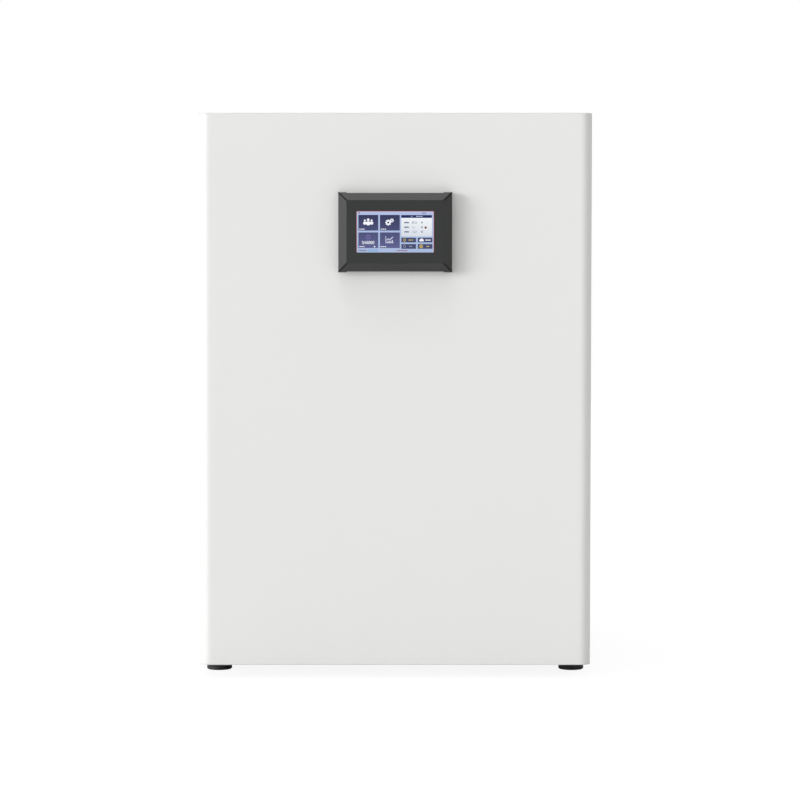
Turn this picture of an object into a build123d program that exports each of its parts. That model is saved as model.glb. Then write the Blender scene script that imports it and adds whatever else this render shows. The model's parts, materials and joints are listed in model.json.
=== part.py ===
from build123d import *
from math import cos, radians, sin
import os

# A bench CO2 incubator: an insulated cabinet on four feet, a stainless chamber with shelves and a
# water pan, a glass inner door and a full-height outer door that carries a small touch display.
# Millimetres. X points to the right seen from the front, Y to the back, Z up, feet on Z = 0.

# Cabinet
cabinet_width = 560.0
cabinet_height = 786.0
cabinet_depth = 535.0
wrap_bend = 3.0
sheet = 1.5
rear_lip = 14.0
rear_panel_margin = 4.0
frame_thickness = 20.0
pan_wall_height = 25.0
foot_height = 18.0
foot_radius = 18.5
foot_inset_x = 22.0
foot_inset_front = 30.0
foot_inset_rear = 50.0
foot_screw_radius = 3.0
foot_pad_height = 6.2
foot_pad_radius = 17.4
foot_rounding = 4.4
foot_recess_radius = 6.5
foot_recess_depth = 8.0

# Chamber
chamber_from_side = 80.0
chamber_above_base = 76.0
chamber_below_top = 210.0
chamber_before_rear = 135.0
chamber_corner = 25.0
chamber_cove = 18.0
liner_sheet = 1.5
liner_flange = 16.0
heater_thickness = 2.5
heater_space = 3.0
rear_insulation = 60.0
roof_insulation = 58.0

# Outer door
door_thickness = 52.0
door_gap = 10.0
door_edge_radius = 16.0
door_panel_wall = 3.0
recess_from_side = 42.0
recess_above_chamber = 34.0
recess_depth = 24.0
recess_corner = 20.0
recess_draft = 4.0
gasket_width = 12.0
gasket_inset = 28.0
soft_clearance = 0.3

# Outer door hinge, hidden in notches in the top and bottom corners of the door
pivot_from_side = 8.0
pivot_from_rear = 14.0
hinge_arm_width = 10.0
hinge_arm_thickness = 6.0
hinge_leaf_width = 30.0
hinge_leaf_height = 60.0
hinge_leaf_thickness = 3.0
hinge_leaf_from_side = 4.0
hinge_pin_radius = 3.5
hinge_wire_hole_radius = 1.8
hinge_pin_length = 20.0
hinge_notch_height = 9.0
hinge_notch_reach = 17.0
hinge_arm_from_edge = 1.5
bush_wall = 1.5
bush_flange = 1.0
bush_flange_width = 1.0
running_clearance = 0.05
press_clearance = 0.02

# Inner glass door
glass_thickness = 5.0
glass_overlap = 14.0
inner_gasket_thickness = 5.0
inner_gasket_width = 11.0
inner_pivot_from_glass = 12.0
inner_pivot_before_glass = 2.0
inner_knuckle_radius = 5.0
inner_pin_radius = 2.5
inner_hinge_height = 38.0
inner_knuckle_height = 22.0
inner_hinge_from_end = 70.0
inner_leaf_reach = 46.0
inner_leaf_sheet = 2.0
leaf_screw_radius = 4.0
leaf_screw_head = 1.5
leaf_screw_from_end = 9.0
leaf_screw_pitch = 16.0
knob_from_edge = 38.0
knob_radius = 9.0
knob_stem_radius = 4.0
knob_stem_length = 8.0
knob_head_length = 8.0
latch_from_glass = 10.0
latch_length = 36.0
latch_width = 11.0
latch_eye_rim = 1.5
latch_thickness = 4.0
latch_before_glass = 1.0
latch_post_radius = 3.0
latch_post_base_radius = 6.0
latch_post_cap = 1.5
latch_post_cap_rim = 2.0

# Touch display
display_width = 161.0
display_height = 112.5
display_proud = 26.0
display_bevel = 11.7
display_top_from_edge = 112.7
display_wall = 2.5
display_relief = 1.0
display_groove = 1.7
screen_width = 109.0
screen_height = 58.0
screen_recess = 1.0
screen_border = 3.0
screen_glass = 1.5

# Shelves and water pan
shelf_side_gap = 11.5
shelf_sheet = 1.2
shelf_lip = 12.0
shelf_setback = 16.0
shelf_rear_gap = 44.0
shelf_levels = (0.22, 0.43, 0.64)
shelf_slot_bridge = 12.6
shelf_slot_width = 12.0
shelf_slot_margin_x = 12.0
shelf_slot_margin_y = 15.0
shelf_slot_columns = 5
shelf_slot_rows = 11
slide_clearance = 0.3
runner_sheet = 1.2
runner_ledge = 14.0
runner_hook = 5.0
upright_width = 22.0
upright_depth = 8.0
upright_above_floor = 30.0
upright_below_ceiling = 70.0
upright_from_front = 60.0
upright_from_rear = 70.0
upright_slot_pitch = 35.0
upright_slot_length = 14.0
upright_slot_width = 5.0
runner_overhang = 20.0
pan_side_gap = 35.0
pan_setback = 30.0
pan_rear_gap = 60.0
pan_height = 32.0
pan_corner = 18.0
pan_foot_radius = 6.0
pan_rim = 4.0

# Fan
fan_cover_share = 0.3
fan_cover_drop = 54.0
fan_cover_flange = 12.0
fan_cover_corner = 18.0
fan_below_ceiling = 10.0
fan_plate_thickness = 2.0
fan_blade_count = 24
fan_blade_height = 28.0
fan_blade_thickness = 1.2
fan_blade_sweep = 4.0
fan_blade_curve = 14.0
fan_hub_radius = 9.0
fan_hub_length = 20.0
fan_shaft_radius = 3.0
fan_tube_radius = 10.0
fan_tube_room = 2.5
fan_motor_radius = 36.0
fan_motor_height = 56.0
fan_bell_radius = 30.0
fan_bell_height = 8.0
fan_motor_grooves = 16
fan_groove_width = 4.0
fan_groove_length = 30.0
motor_plate_margin = 12.0
motor_plate_thickness = 3.0
fan_intake_inner = 16.0
fan_intake_slot = 6.0
fan_intake_count = 12
fan_outlet_width = 12.0
fan_outlet_height = 26.0
fan_outlets_each_way = 3

# Rear fittings
rear_proud = 20.0
port_from_wall = 90.0
port_below_ceiling = 128.0
port_bore_radius = 21.0
port_wall = 2.5
port_flange = 7.0
port_flange_thickness = 3.0
plug_grip_radius = 26.0
plug_rib_radius = 3.0
plug_rib_count = 12
plug_depth = 50.0
inlet_from_side = 90.0
inlet_below_top = 96.0
inlet_width = 34.0
inlet_height = 84.0
nipple_from_side = 130.0
nipple_below_top = 190.0
nipple_radius = 4.0
nipple_thread_radius = 7.0
nipple_hexagon_radius = 9.0
nipple_hexagon_depth = 5.0
nipple_nut_radius = 10.0
nipple_nut_depth = 4.0
nipple_inside = 8.0
screw_head_radius = 4.0
screw_head_height = 2.0
vent_length = 60.0
vent_width = 5.0
vent_pitch_x = 80.0
vent_pitch_z = 14.0
vent_below_top = 60.0
vent_from_middle = 70.0

# Probes and gas line
probe_below_ceiling = 95.0
probe_flange = 3.0
nozzle_x = -30.0
nozzle_wall = 2.0
nozzle_reach = 12.0
nozzle_flange_radius = 11.0
co2_x = 60.0
co2_stem_radius = 8.0
co2_stem_reach = 20.0
co2_cap_radius = 10.0
co2_cap_reach = 46.0
co2_cap_length = 32.0
co2_core_radius = 7.0
co2_slot_width = 3.0
co2_slot_length = 14.0
co2_slot_count = 4
co2_head_size = 40.0
co2_head_depth = 22.0
temperature_x = 105.0
temperature_radius = 2.5
temperature_reach = 60.0
temperature_sleeve_radius = 4.0
temperature_sleeve_reach = 8.0
temperature_nut_radius = 8.0
temperature_nut_depth = 10.0
gas_line_radius = 3.0
gas_line_bend = 16.0
gas_line_from_insulation = 40.0
filter_x = 50.0
filter_below_probes = 60.0
filter_radius = 26.0
filter_thickness = 16.0
filter_spigot = 10.0
valve_share = 0.55
valve_width = 34.0
valve_height = 44.0
valve_body_depth = 24.0
valve_body_height = 20.0
valve_port_radius = 6.0
valve_coil_radius = 12.0
valve_bracket_width = 32.0
valve_bracket_height = 48.0
valve_bracket_thickness = 4.0

# Electronics
board_from_side = 110.0
board_from_fan = 60.0
board_from_front = 60.0
board_depth = 160.0
board_thickness = 1.6
pillar_height = 8.0
pillar_radius = 3.0
pillar_from_edge = 6.0
relay_count = 4
relay_width = 20.0
relay_depth = 16.0
relay_height = 16.0
relay_pitch = 22.0
capacitor_count = 3
capacitor_radius = 7.0
capacitor_height = 26.0
capacitor_pitch = 20.0
terminal_depth = 12.0
terminal_height = 10.0
chip_size = 24.0
chip_height = 3.0
part_margin = 12.0
supply_from_side = 90.0
supply_from_middle = 90.0
supply_from_front = 90.0
supply_depth = 160.0
supply_height = 40.0
supply_vent_count = 9
supply_vent_pitch = 15.0
supply_vent_width = 6.0
supply_vent_depth = 4.0
supply_vent_margin = 15.0
tray_wall_height = 12.0

# Places that follow from the sizes above
half_width = cabinet_width / 2
base_z = foot_height
top_z = base_z + cabinet_height
middle_z = (base_z + top_z) / 2
chamber_width = cabinet_width - 2 * chamber_from_side
chamber_height = cabinet_height - chamber_above_base - chamber_below_top
chamber_depth = cabinet_depth - chamber_before_rear
recess_half_width = half_width - recess_from_side
overall_depth = display_proud + door_thickness + door_gap + cabinet_depth + rear_proud
door_front_y = -overall_depth / 2 + display_proud
door_rear_y = door_front_y + door_thickness
front_y = door_rear_y + door_gap
rear_y = front_y + cabinet_depth
chamber_floor_z = base_z + chamber_above_base
chamber_top_z = chamber_floor_z + chamber_height
chamber_z = (chamber_floor_z + chamber_top_z) / 2
chamber_rear_y = front_y + chamber_depth
insulation_rear_y = chamber_rear_y + liner_sheet + heater_space + rear_insulation
tray_z = chamber_top_z + liner_sheet + heater_space + roof_insulation
seal_y = front_y - liner_sheet
glass_rear_y = seal_y - soft_clearance - inner_gasket_thickness
glass_front_y = glass_rear_y - glass_thickness
pivot_x = half_width - pivot_from_side
pivot_y = door_rear_y - pivot_from_rear
glass_half_width = chamber_width / 2 + glass_overlap
inner_pivot_x = glass_half_width + inner_pivot_from_glass
inner_pivot_y = glass_front_y - inner_pivot_before_glass
latch_x = -(glass_half_width + latch_from_glass)
latch_rear_y = glass_front_y - latch_before_glass
latch_front_y = latch_rear_y - latch_thickness
display_z = top_z - display_top_from_edge - display_height / 2
shelf_half_width = chamber_width / 2 - shelf_side_gap
shelf_depth = chamber_depth - shelf_setback - shelf_rear_gap
shelf_heights = [level * chamber_height for level in shelf_levels]
upright_height = chamber_height - upright_above_floor - upright_below_ceiling
pan_width = chamber_width - 2 * pan_side_gap
pan_depth = chamber_depth - pan_setback - pan_rear_gap
fan_y = front_y + chamber_depth / 2
fan_top_z = chamber_top_z - fan_below_ceiling
fan_cover_half = fan_cover_share * chamber_width
fan_wheel_radius = fan_cover_half / 2
fan_blade_inner_radius = 0.7 * fan_wheel_radius
motor_plate_z = tray_z + sheet
motor_z = motor_plate_z + motor_plate_thickness
panel_face_y = rear_y + sheet
port_x = -(chamber_width / 2 - port_from_wall)
port_z = chamber_top_z - port_below_ceiling
probe_z = chamber_top_z - probe_below_ceiling
inlet_x = -(half_width - inlet_from_side)
inlet_z = top_z - inlet_below_top
nipple_x = half_width - nipple_from_side
nipple_z = top_z - nipple_below_top
gas_y = insulation_rear_y + gas_line_from_insulation
filter_z = probe_z - filter_below_probes
valve_z = filter_z + valve_share * (nipple_z - filter_z)


def slab(x0, x1, y0, y1, z0, z1):
    """A square-cornered block between two limits on each axis."""
    block = Box(x1 - x0, y1 - y0, z1 - z0)
    return Pos((x0 + x1) / 2, (y0 + y1) / 2, (z0 + z1) / 2) * block


def facing_plate(width, height, corner, y_front, y_back, x=0.0, z=0.0, draft=0.0):
    """A plate with rounded corners, square-on to the front, that may narrow towards the front."""
    plane = Plane(origin=(x, y_back, z), x_dir=(1, 0, 0), z_dir=(0, -1, 0))
    return extrude(plane * RectangleRounded(width, height, corner), y_back - y_front, taper=draft)


def level_plate(width, depth, corner, z_low, z_high, x=0.0, y=0.0):
    """A horizontal plate with rounded corners."""
    outline = Plane((x, y, z_low)) * RectangleRounded(width, depth, corner)
    return extrude(outline, z_high - z_low)


def upright_rod(radius, x, y, z_low, z_high):
    return Pos(x, y, (z_low + z_high) / 2) * Cylinder(radius, z_high - z_low)


def deep_rod(radius, x, z, y_front, y_back):
    """A round bar that runs from front to back."""
    return Pos(x, (y_front + y_back) / 2, z) * Rot(90, 0, 0) * Cylinder(radius, y_back - y_front)


def cross_rod(radius, y, z, x_left, x_right):
    return Pos((x_left + x_right) / 2, y, z) * Rot(0, 90, 0) * Cylinder(radius, x_right - x_left)


def both_sides(shape):
    """The shape and its mirror image across the middle of the cabinet."""
    return [shape, mirror(shape, Plane.YZ)]


def top_and_bottom(shape):
    """The shape and its mirror image across the door's mid-height."""
    return [shape, mirror(shape, Plane.XY.offset(middle_z))]


def save(node, solids):
    """Write one sub-part, a single solid or a group of separate solids."""
    shape = Compound(children=list(solids)) if isinstance(solids, (list, tuple)) else solids
    export_step(shape, f"parts/{node}.step")


# Cabinet casing


def make_cabinet_wrap():
    """Sides and top bent from one sheet, with a lip at the back for the rear panel."""
    spare = 2 * wrap_bend
    height = cabinet_height + spare
    centre = top_z - height / 2
    outer = facing_plate(cabinet_width, height, wrap_bend, front_y, rear_y, z=centre)
    hollow = facing_plate(
        cabinet_width - 2 * sheet, height - 2 * sheet, wrap_bend - sheet, front_y, rear_y - sheet, z=centre
    )
    opening_half = half_width - rear_lip
    opening = slab(-opening_half, opening_half, rear_y - sheet, rear_y, base_z - spare, top_z - rear_lip)
    below = slab(-half_width, half_width, front_y, rear_y, base_z - spare, base_z)
    return outer - hollow - opening - below


def foot_places():
    x = half_width - foot_inset_x
    for side in (-x, x):
        for y in (front_y + foot_inset_front, rear_y - foot_inset_rear):
            yield side, y


def make_base_pan():
    """A shallow tray that closes the bottom, with holes for the feet's screws."""
    y0 = front_y + frame_thickness
    y1 = rear_y - sheet
    width = cabinet_width - 2 * sheet
    centre_y = (y0 + y1) / 2
    outer = level_plate(width, y1 - y0, wrap_bend, base_z, base_z + pan_wall_height, y=centre_y)
    inner = level_plate(
        width - 2 * sheet, y1 - y0 - 2 * sheet, wrap_bend - sheet, base_z + sheet, base_z + pan_wall_height, y=centre_y
    )
    pan = outer - inner
    for x, y in foot_places():
        pan -= upright_rod(foot_screw_radius, x, y, base_z, base_z + sheet)
    return pan


def make_foot(x, y):
    """A moulded rubber foot: a collar above a stepped pad with a rounded rim, hollowed for its screw."""
    step = foot_radius - foot_pad_radius
    flat_radius = foot_pad_radius - foot_rounding
    with BuildPart() as foot:
        with BuildSketch(Plane.XZ):
            with BuildLine():
                Polyline(
                    (foot_screw_radius, foot_height),
                    (foot_radius, foot_height),
                    (foot_radius, foot_pad_height),
                    (foot_pad_radius, foot_pad_height - step),
                    (foot_pad_radius, foot_rounding),
                )
                RadiusArc((foot_pad_radius, foot_rounding), (flat_radius, 0.0), foot_rounding)
                Polyline(
                    (flat_radius, 0.0),
                    (foot_recess_radius, 0.0),
                    (foot_recess_radius, foot_recess_depth),
                    (foot_screw_radius, foot_recess_depth),
                    (foot_screw_radius, foot_height),
                )
            make_face()
        revolve(axis=Axis.Z)
    return Pos(x, y, 0) * foot.part


def make_foot_screw(x, y):
    """A pan-head screw up through the foot into the base pan."""
    head = upright_rod(foot_recess_radius - 1.0, x, y, foot_recess_depth - 3.5, foot_recess_depth)
    shank = upright_rod(foot_screw_radius - press_clearance, x, y, foot_recess_depth, base_z + sheet)
    return head + shank


def rear_screw_places():
    edge_x = half_width - rear_lip / 2 - 1
    for side in (-edge_x, edge_x):
        for fraction in (0.04, 0.35, 0.65, 0.96):
            yield side, base_z + fraction * cabinet_height
    for x in (-cabinet_width / 6, cabinet_width / 6):
        yield x, top_z - rear_lip / 2 - 1


def make_rear_panel():
    """The service panel: vent slots behind the electronics, and holes for the fittings."""
    width = cabinet_width - 2 * rear_panel_margin
    height = cabinet_height - 2 * rear_panel_margin
    panel = facing_plate(width, height, wrap_bend, rear_y, rear_y + sheet, z=middle_z)
    slot_plane = Plane(origin=(0, panel_face_y, 0), x_dir=(1, 0, 0), z_dir=(0, -1, 0))
    slot = extrude(slot_plane * SlotOverall(vent_length, vent_width), sheet)
    for column in (-1, 0, 1):
        for row in range(6):
            x = vent_from_middle + column * vent_pitch_x
            panel -= Pos(x, 0, top_z - vent_below_top - row * vent_pitch_z) * slot
    panel -= deep_rod(port_bore_radius + port_wall, port_x, port_z, rear_y, panel_face_y)
    panel -= deep_rod(nipple_thread_radius, nipple_x, nipple_z, rear_y, panel_face_y)
    return panel - inlet_body(rear_y, panel_face_y)


def make_rear_screws():
    screws = []
    for x, z in rear_screw_places():
        screws.append(deep_rod(screw_head_radius, x, z, panel_face_y, panel_face_y + screw_head_height))
    return screws


def make_front_frame():
    """The frame round the chamber mouth, with flush pockets for the hinge leaves."""
    width = cabinet_width - 2 * sheet
    height = cabinet_height - sheet
    centre = base_z + height / 2
    frame = facing_plate(width, height, wrap_bend - sheet, front_y, front_y + frame_thickness, z=centre)
    mouth = facing_plate(
        chamber_width + 2 * liner_sheet,
        chamber_height + 2 * liner_sheet,
        chamber_corner + liner_sheet,
        front_y,
        front_y + frame_thickness,
        z=chamber_z,
    )
    frame -= mouth
    for pocket in top_and_bottom(hinge_leaf_block(0.0)):
        frame -= pocket
    return frame


# Chamber and its insulation


def coved_box(grow, y_front):
    """The chamber's form with rounded corners and a coved back, swollen by grow on every wall."""
    width = chamber_width + 2 * grow
    height = chamber_height + 2 * grow
    form = facing_plate(width, height, chamber_corner + grow, y_front, chamber_rear_y + grow, z=chamber_z)
    back_edges = form.faces().sort_by(Axis.Y)[-1].edges()
    return fillet(back_edges, chamber_cove + grow)


def wall_holes(clearance):
    """The holes through the chamber's back wall: access port, gas nozzle and two probes."""
    y0 = chamber_rear_y - 1.0
    y1 = rear_y
    return [
        deep_rod(port_bore_radius + port_wall + clearance, port_x, port_z, y0, y1),
        deep_rod(gas_line_radius + nozzle_wall + clearance, nozzle_x, probe_z, y0, y1),
        deep_rod(co2_stem_radius + clearance, co2_x, probe_z, y0, y1),
        deep_rod(temperature_sleeve_radius + clearance, temperature_x, probe_z, y0, y1),
    ]


def make_chamber_liner():
    """The stainless chamber, a deep-drawn box with coved corners and a sealing flange."""
    flange = facing_plate(
        chamber_width + 2 * liner_flange,
        chamber_height + 2 * liner_flange,
        chamber_corner + liner_flange,
        seal_y,
        front_y,
        z=chamber_z,
    )
    liner = flange + coved_box(liner_sheet, front_y)
    liner -= coved_box(0.0, seal_y)
    liner -= upright_rod(fan_tube_radius + press_clearance, 0, fan_y, chamber_top_z - 1, chamber_top_z + liner_sheet)
    for hole in wall_holes(0.0):
        liner -= hole
    return liner


def make_jacket_heaters():
    """Silicone heater mats on the five walls of the chamber."""
    inner = coved_box(liner_sheet, front_y)
    outer = coved_box(liner_sheet + heater_thickness, front_y)
    margin = chamber_corner + 12.0
    x = chamber_width / 2 - margin
    z0 = chamber_floor_z + margin
    z1 = chamber_top_z - margin
    y0 = front_y + frame_thickness + 15.0
    y1 = chamber_rear_y - margin
    far = half_width
    shell = outer - inner
    side = shell & slab(0, far, y0, y1, z0, z1)
    floor = shell & slab(-x, x, y0, y1, base_z, chamber_floor_z)
    roof = shell & slab(-x, x, y0, y1, chamber_top_z, top_z)
    roof -= upright_rod(fan_tube_radius + 4.0, 0, fan_y, chamber_top_z, top_z)
    back = shell & slab(-x, x, chamber_rear_y, rear_y, z0, z1)
    for hole in wall_holes(4.0):
        back -= hole
    return both_sides(side) + [floor, roof, back]


def make_cabinet_insulation():
    """The insulating block round the chamber, pierced for the fan, the port and the probes."""
    width = cabinet_width - 4 * sheet
    y0 = front_y + frame_thickness + sheet
    block = level_plate(width, insulation_rear_y - y0, wrap_bend, base_z + sheet, tray_z, y=(y0 + insulation_rear_y) / 2)
    block -= coved_box(liner_sheet + heater_space, front_y)
    block -= upright_rod(fan_tube_radius + soft_clearance, 0, fan_y, chamber_top_z, tray_z)
    for hole in wall_holes(soft_clearance):
        block -= hole
    return block


def make_equipment_tray():
    """The shelf above the insulation that carries the electronics and the fan motor."""
    side = half_width - sheet
    y0 = front_y + frame_thickness
    y1 = rear_y - sheet
    tray = slab(-side, side, y0, y1, tray_z, tray_z + tray_wall_height)
    tray -= slab(-side + sheet, side - sheet, y0, y1, tray_z + sheet, tray_z + tray_wall_height)
    tray -= upright_rod(fan_tube_radius + press_clearance, 0, fan_y, tray_z, tray_z + sheet)
    return tray


# Circulation fan


def make_fan_motor_plate():
    """The motor's mounting plate, with a tube that guards the shaft through the insulation."""
    size = 2 * (fan_motor_radius + motor_plate_margin)
    plate = level_plate(size, size, motor_plate_margin, motor_plate_z, motor_z, y=fan_y)
    tube = upright_rod(fan_tube_radius, 0, fan_y, chamber_top_z, motor_plate_z)
    bore = upright_rod(fan_shaft_radius + fan_tube_room, 0, fan_y, chamber_top_z, motor_z)
    return plate + tube - bore


def make_fan_motor():
    """The motor: a finned drum between two end bells, bored for the shaft."""
    drum_low = motor_z + fan_bell_height
    drum_high = motor_z + fan_motor_height - fan_bell_height
    motor = upright_rod(fan_motor_radius, 0, fan_y, drum_low, drum_high)
    motor += upright_rod(fan_bell_radius, 0, fan_y, motor_z, drum_low)
    motor += upright_rod(fan_bell_radius, 0, fan_y, drum_high, motor_z + fan_motor_height)
    middle = motor_z + fan_motor_height / 2
    groove = Pos(0, fan_y + fan_motor_radius, middle) * Box(fan_groove_width, fan_groove_width, fan_groove_length)
    spin = Axis((0, fan_y, 0), (0, 0, 1))
    for step in range(fan_motor_grooves):
        motor -= groove.rotate(spin, step * 360 / fan_motor_grooves)
    return motor - upright_rod(fan_shaft_radius + running_clearance, 0, fan_y, motor_z, motor_z + fan_motor_height)


def make_fan_shaft():
    """The shaft from the hub up to just under the motor's upper bell."""
    high = motor_z + fan_motor_height - fan_bell_height / 2
    return upright_rod(fan_shaft_radius, 0, fan_y, fan_top_z - fan_hub_length, high)


def make_fan_blade(low):
    """One curved blade of the wheel, standing on the shroud ring."""
    inner = fan_blade_inner_radius + 1.0
    outer = fan_wheel_radius - 1.0
    rise = fan_blade_sweep
    wall = fan_blade_thickness
    outline = RadiusArc((inner, 0), (outer, rise), fan_blade_curve)
    outline += Line((outer, rise), (outer, rise + wall))
    outline += RadiusArc((inner, wall), (outer, rise + wall), fan_blade_curve)
    outline += Line((inner, wall), (inner, 0))
    return Pos(0, fan_y, low) * extrude(make_face(outline), fan_blade_height)


def make_fan_wheel():
    """A forward-curved blower wheel: back plate, blades, shroud ring and a bored hub."""
    under_plate = fan_top_z - fan_plate_thickness
    shroud_high = under_plate - fan_blade_height
    shroud_low = shroud_high - fan_plate_thickness
    hub_low = fan_top_z - fan_hub_length
    wheel = upright_rod(fan_wheel_radius, 0, fan_y, under_plate, fan_top_z)
    ring = upright_rod(fan_wheel_radius, 0, fan_y, shroud_low, shroud_high)
    ring -= upright_rod(fan_blade_inner_radius, 0, fan_y, shroud_low, shroud_high)
    wheel += ring + upright_rod(fan_hub_radius, 0, fan_y, hub_low, fan_top_z)
    spin = Axis((0, fan_y, 0), (0, 0, 1))
    blade = make_fan_blade(shroud_high)
    wheel += [blade.rotate(spin, step * 360 / fan_blade_count) for step in range(fan_blade_count)]
    return wheel - upright_rod(fan_shaft_radius + press_clearance, 0, fan_y, hub_low, fan_top_z)


def make_fan_cover():
    """The perforated box under the chamber ceiling that guides the air past the fan wheel."""
    low = chamber_top_z - fan_cover_drop
    size = 2 * fan_cover_half
    inner = size - 2 * liner_sheet
    wide = size + 2 * fan_cover_flange
    flange_corner = fan_cover_corner + 4.0
    cover = level_plate(wide, wide, flange_corner, chamber_top_z - liner_sheet, chamber_top_z, y=fan_y)
    cover += level_plate(size, size, fan_cover_corner, low, chamber_top_z, y=fan_y)
    inner_corner = fan_cover_corner - liner_sheet
    cover -= level_plate(inner, inner, inner_corner, low + liner_sheet, chamber_top_z, y=fan_y)
    spin = Axis((0, fan_y, 0), (0, 0, 1))
    spoke_length = fan_blade_inner_radius - fan_intake_inner
    middle = (fan_intake_inner + fan_blade_inner_radius) / 2
    spoke = Pos(middle, fan_y, low) * Box(spoke_length, fan_intake_slot, 4 * liner_sheet)
    for step in range(fan_intake_count):
        cover -= spoke.rotate(spin, step * 360 / fan_intake_count)
    outlet_z = chamber_top_z - fan_cover_drop / 2
    pitch = fan_cover_half / (fan_outlets_each_way + 1)
    for step in range(-fan_outlets_each_way, fan_outlets_each_way + 1):
        outlet = Pos(step * pitch, fan_y, outlet_z) * Box(fan_outlet_width, wide, fan_outlet_height)
        cover -= outlet
        cover -= outlet.rotate(spin, 90)
    return cover


# Rack, shelves and water pan


def upright_ys():
    return (front_y + upright_from_front, chamber_rear_y - upright_from_rear)


def make_rack_uprights():
    """Four channel posts on the side walls, slotted for the shelf runners."""
    wall = chamber_width / 2
    low = chamber_floor_z + upright_above_floor
    posts = []
    for y in upright_ys():
        half = upright_width / 2
        hollow_half = half - runner_sheet
        inner_x = wall - upright_depth + runner_sheet
        post = slab(wall - upright_depth, wall, y - half, y + half, low, low + upright_height)
        post -= slab(inner_x, wall, y - hollow_half, y + hollow_half, low, low + upright_height)
        slots = int((upright_height - upright_slot_length) / upright_slot_pitch)
        for step in range(slots):
            z = low + upright_slot_length + step * upright_slot_pitch
            slot_half = upright_slot_width / 2
            post -= slab(wall - upright_depth, inner_x, y - slot_half, y + slot_half, z, z + upright_slot_length)
        posts += both_sides(post)
    return posts


def shelf_top_z(height):
    return chamber_floor_z + height


def make_shelf_runners():
    """Channels hooked to the uprights, each holding one edge of a shelf."""
    web_outer = chamber_width / 2 - upright_depth
    web_inner = web_outer - runner_sheet
    y0 = upright_ys()[0] - upright_width / 2 - runner_overhang
    y1 = upright_ys()[1] + upright_width / 2 + runner_overhang
    runners = []
    for height in shelf_heights:
        high = shelf_top_z(height) + slide_clearance
        low = shelf_top_z(height) - shelf_lip - slide_clearance
        web = slab(web_inner, web_outer, y0, y1, low - runner_sheet, high + runner_sheet)
        ledge = slab(web_outer - runner_ledge, web_outer, y0, y1, low - runner_sheet, low)
        hook = slab(web_outer - runner_sheet - runner_hook, web_outer, y0, y1, high, high + runner_sheet)
        runners += both_sides(web + ledge + hook)
    return runners


def make_shelf(height):
    """A pressed shelf with turned-down edges and rows of slots for the air."""
    top = shelf_top_z(height)
    y0 = front_y + shelf_setback
    y1 = y0 + shelf_depth
    x = shelf_half_width
    shelf = slab(-x, x, y0, y1, top - shelf_lip, top)
    wall = shelf_sheet
    shelf -= slab(-x + wall, x - wall, y0 + wall, y1 - wall, top - shelf_lip, top - wall)
    pitch_x = 2 * (x - shelf_slot_margin_x) / shelf_slot_columns
    pitch_y = (shelf_depth - 2 * shelf_slot_margin_y) / shelf_slot_rows
    slot = extrude(SlotOverall(pitch_x - shelf_slot_bridge, shelf_slot_width), shelf_sheet)
    slots = []
    for column in range(shelf_slot_columns):
        for row in range(shelf_slot_rows):
            place_x = (column - (shelf_slot_columns - 1) / 2) * pitch_x
            place_y = (y0 + y1) / 2 + (row - (shelf_slot_rows - 1) / 2) * pitch_y
            slots.append(Pos(place_x, place_y, top - shelf_sheet) * slot)
    return shelf - slots


def make_water_pan():
    """The humidity pan on the chamber floor, with a turned-out rim."""
    low = chamber_floor_z + slide_clearance
    high = low + pan_height
    y = front_y + pan_setback + pan_depth / 2
    rim = level_plate(
        pan_width + 2 * pan_rim, pan_depth + 2 * pan_rim, pan_corner + pan_rim, high - shelf_sheet, high, y=y
    )
    body = level_plate(pan_width, pan_depth, pan_corner, low, high, y=y)
    body = fillet(body.faces().sort_by(Axis.Z)[0].edges(), pan_foot_radius)
    wall = shelf_sheet
    well = level_plate(pan_width - 2 * wall, pan_depth - 2 * wall, pan_corner - wall, low + wall, high, y=y)
    well = fillet(well.faces().sort_by(Axis.Z)[0].edges(), pan_foot_radius - wall)
    return rim + body - well


# Probes and gas line in the rear bay


def make_gas_nozzle():
    """The tube that lets the gas into the chamber, with a flange on the insulation's back."""
    y0 = chamber_rear_y - nozzle_reach
    y1 = insulation_rear_y + probe_flange
    tube = deep_rod(gas_line_radius + nozzle_wall, nozzle_x, probe_z, y0, y1)
    flange = deep_rod(nozzle_flange_radius, nozzle_x, probe_z, insulation_rear_y, y1)
    return tube + flange - deep_rod(gas_line_radius - 1.0, nozzle_x, probe_z, y0, y1)


def make_co2_sensor():
    """The infrared CO2 probe: a slotted cap in the chamber and a head in the rear bay."""
    cap_front = chamber_rear_y - co2_cap_reach
    cap_rear = cap_front + co2_cap_length
    stem = deep_rod(co2_stem_radius, co2_x, probe_z, chamber_rear_y - co2_stem_reach, insulation_rear_y)
    cap = deep_rod(co2_cap_radius, co2_x, probe_z, cap_front, cap_rear)
    cap = fillet(cap.faces().sort_by(Axis.Y)[0].edges(), co2_cap_radius - co2_core_radius)
    slot = Box(co2_slot_width, co2_slot_length, 3 * co2_cap_radius)
    for step in range(co2_slot_count):
        cap -= Pos(co2_x, cap_front + co2_cap_length / 2, probe_z) * Rot(0, step * 180 / co2_slot_count, 0) * slot
    core = deep_rod(co2_core_radius, co2_x, probe_z, cap_front + co2_slot_width, cap_rear)
    head_rear = insulation_rear_y + co2_head_depth
    head = facing_plate(
        co2_head_size, co2_head_size, co2_head_size / 8, insulation_rear_y, head_rear, x=co2_x, z=probe_z
    )
    return stem + cap + core + head


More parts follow.
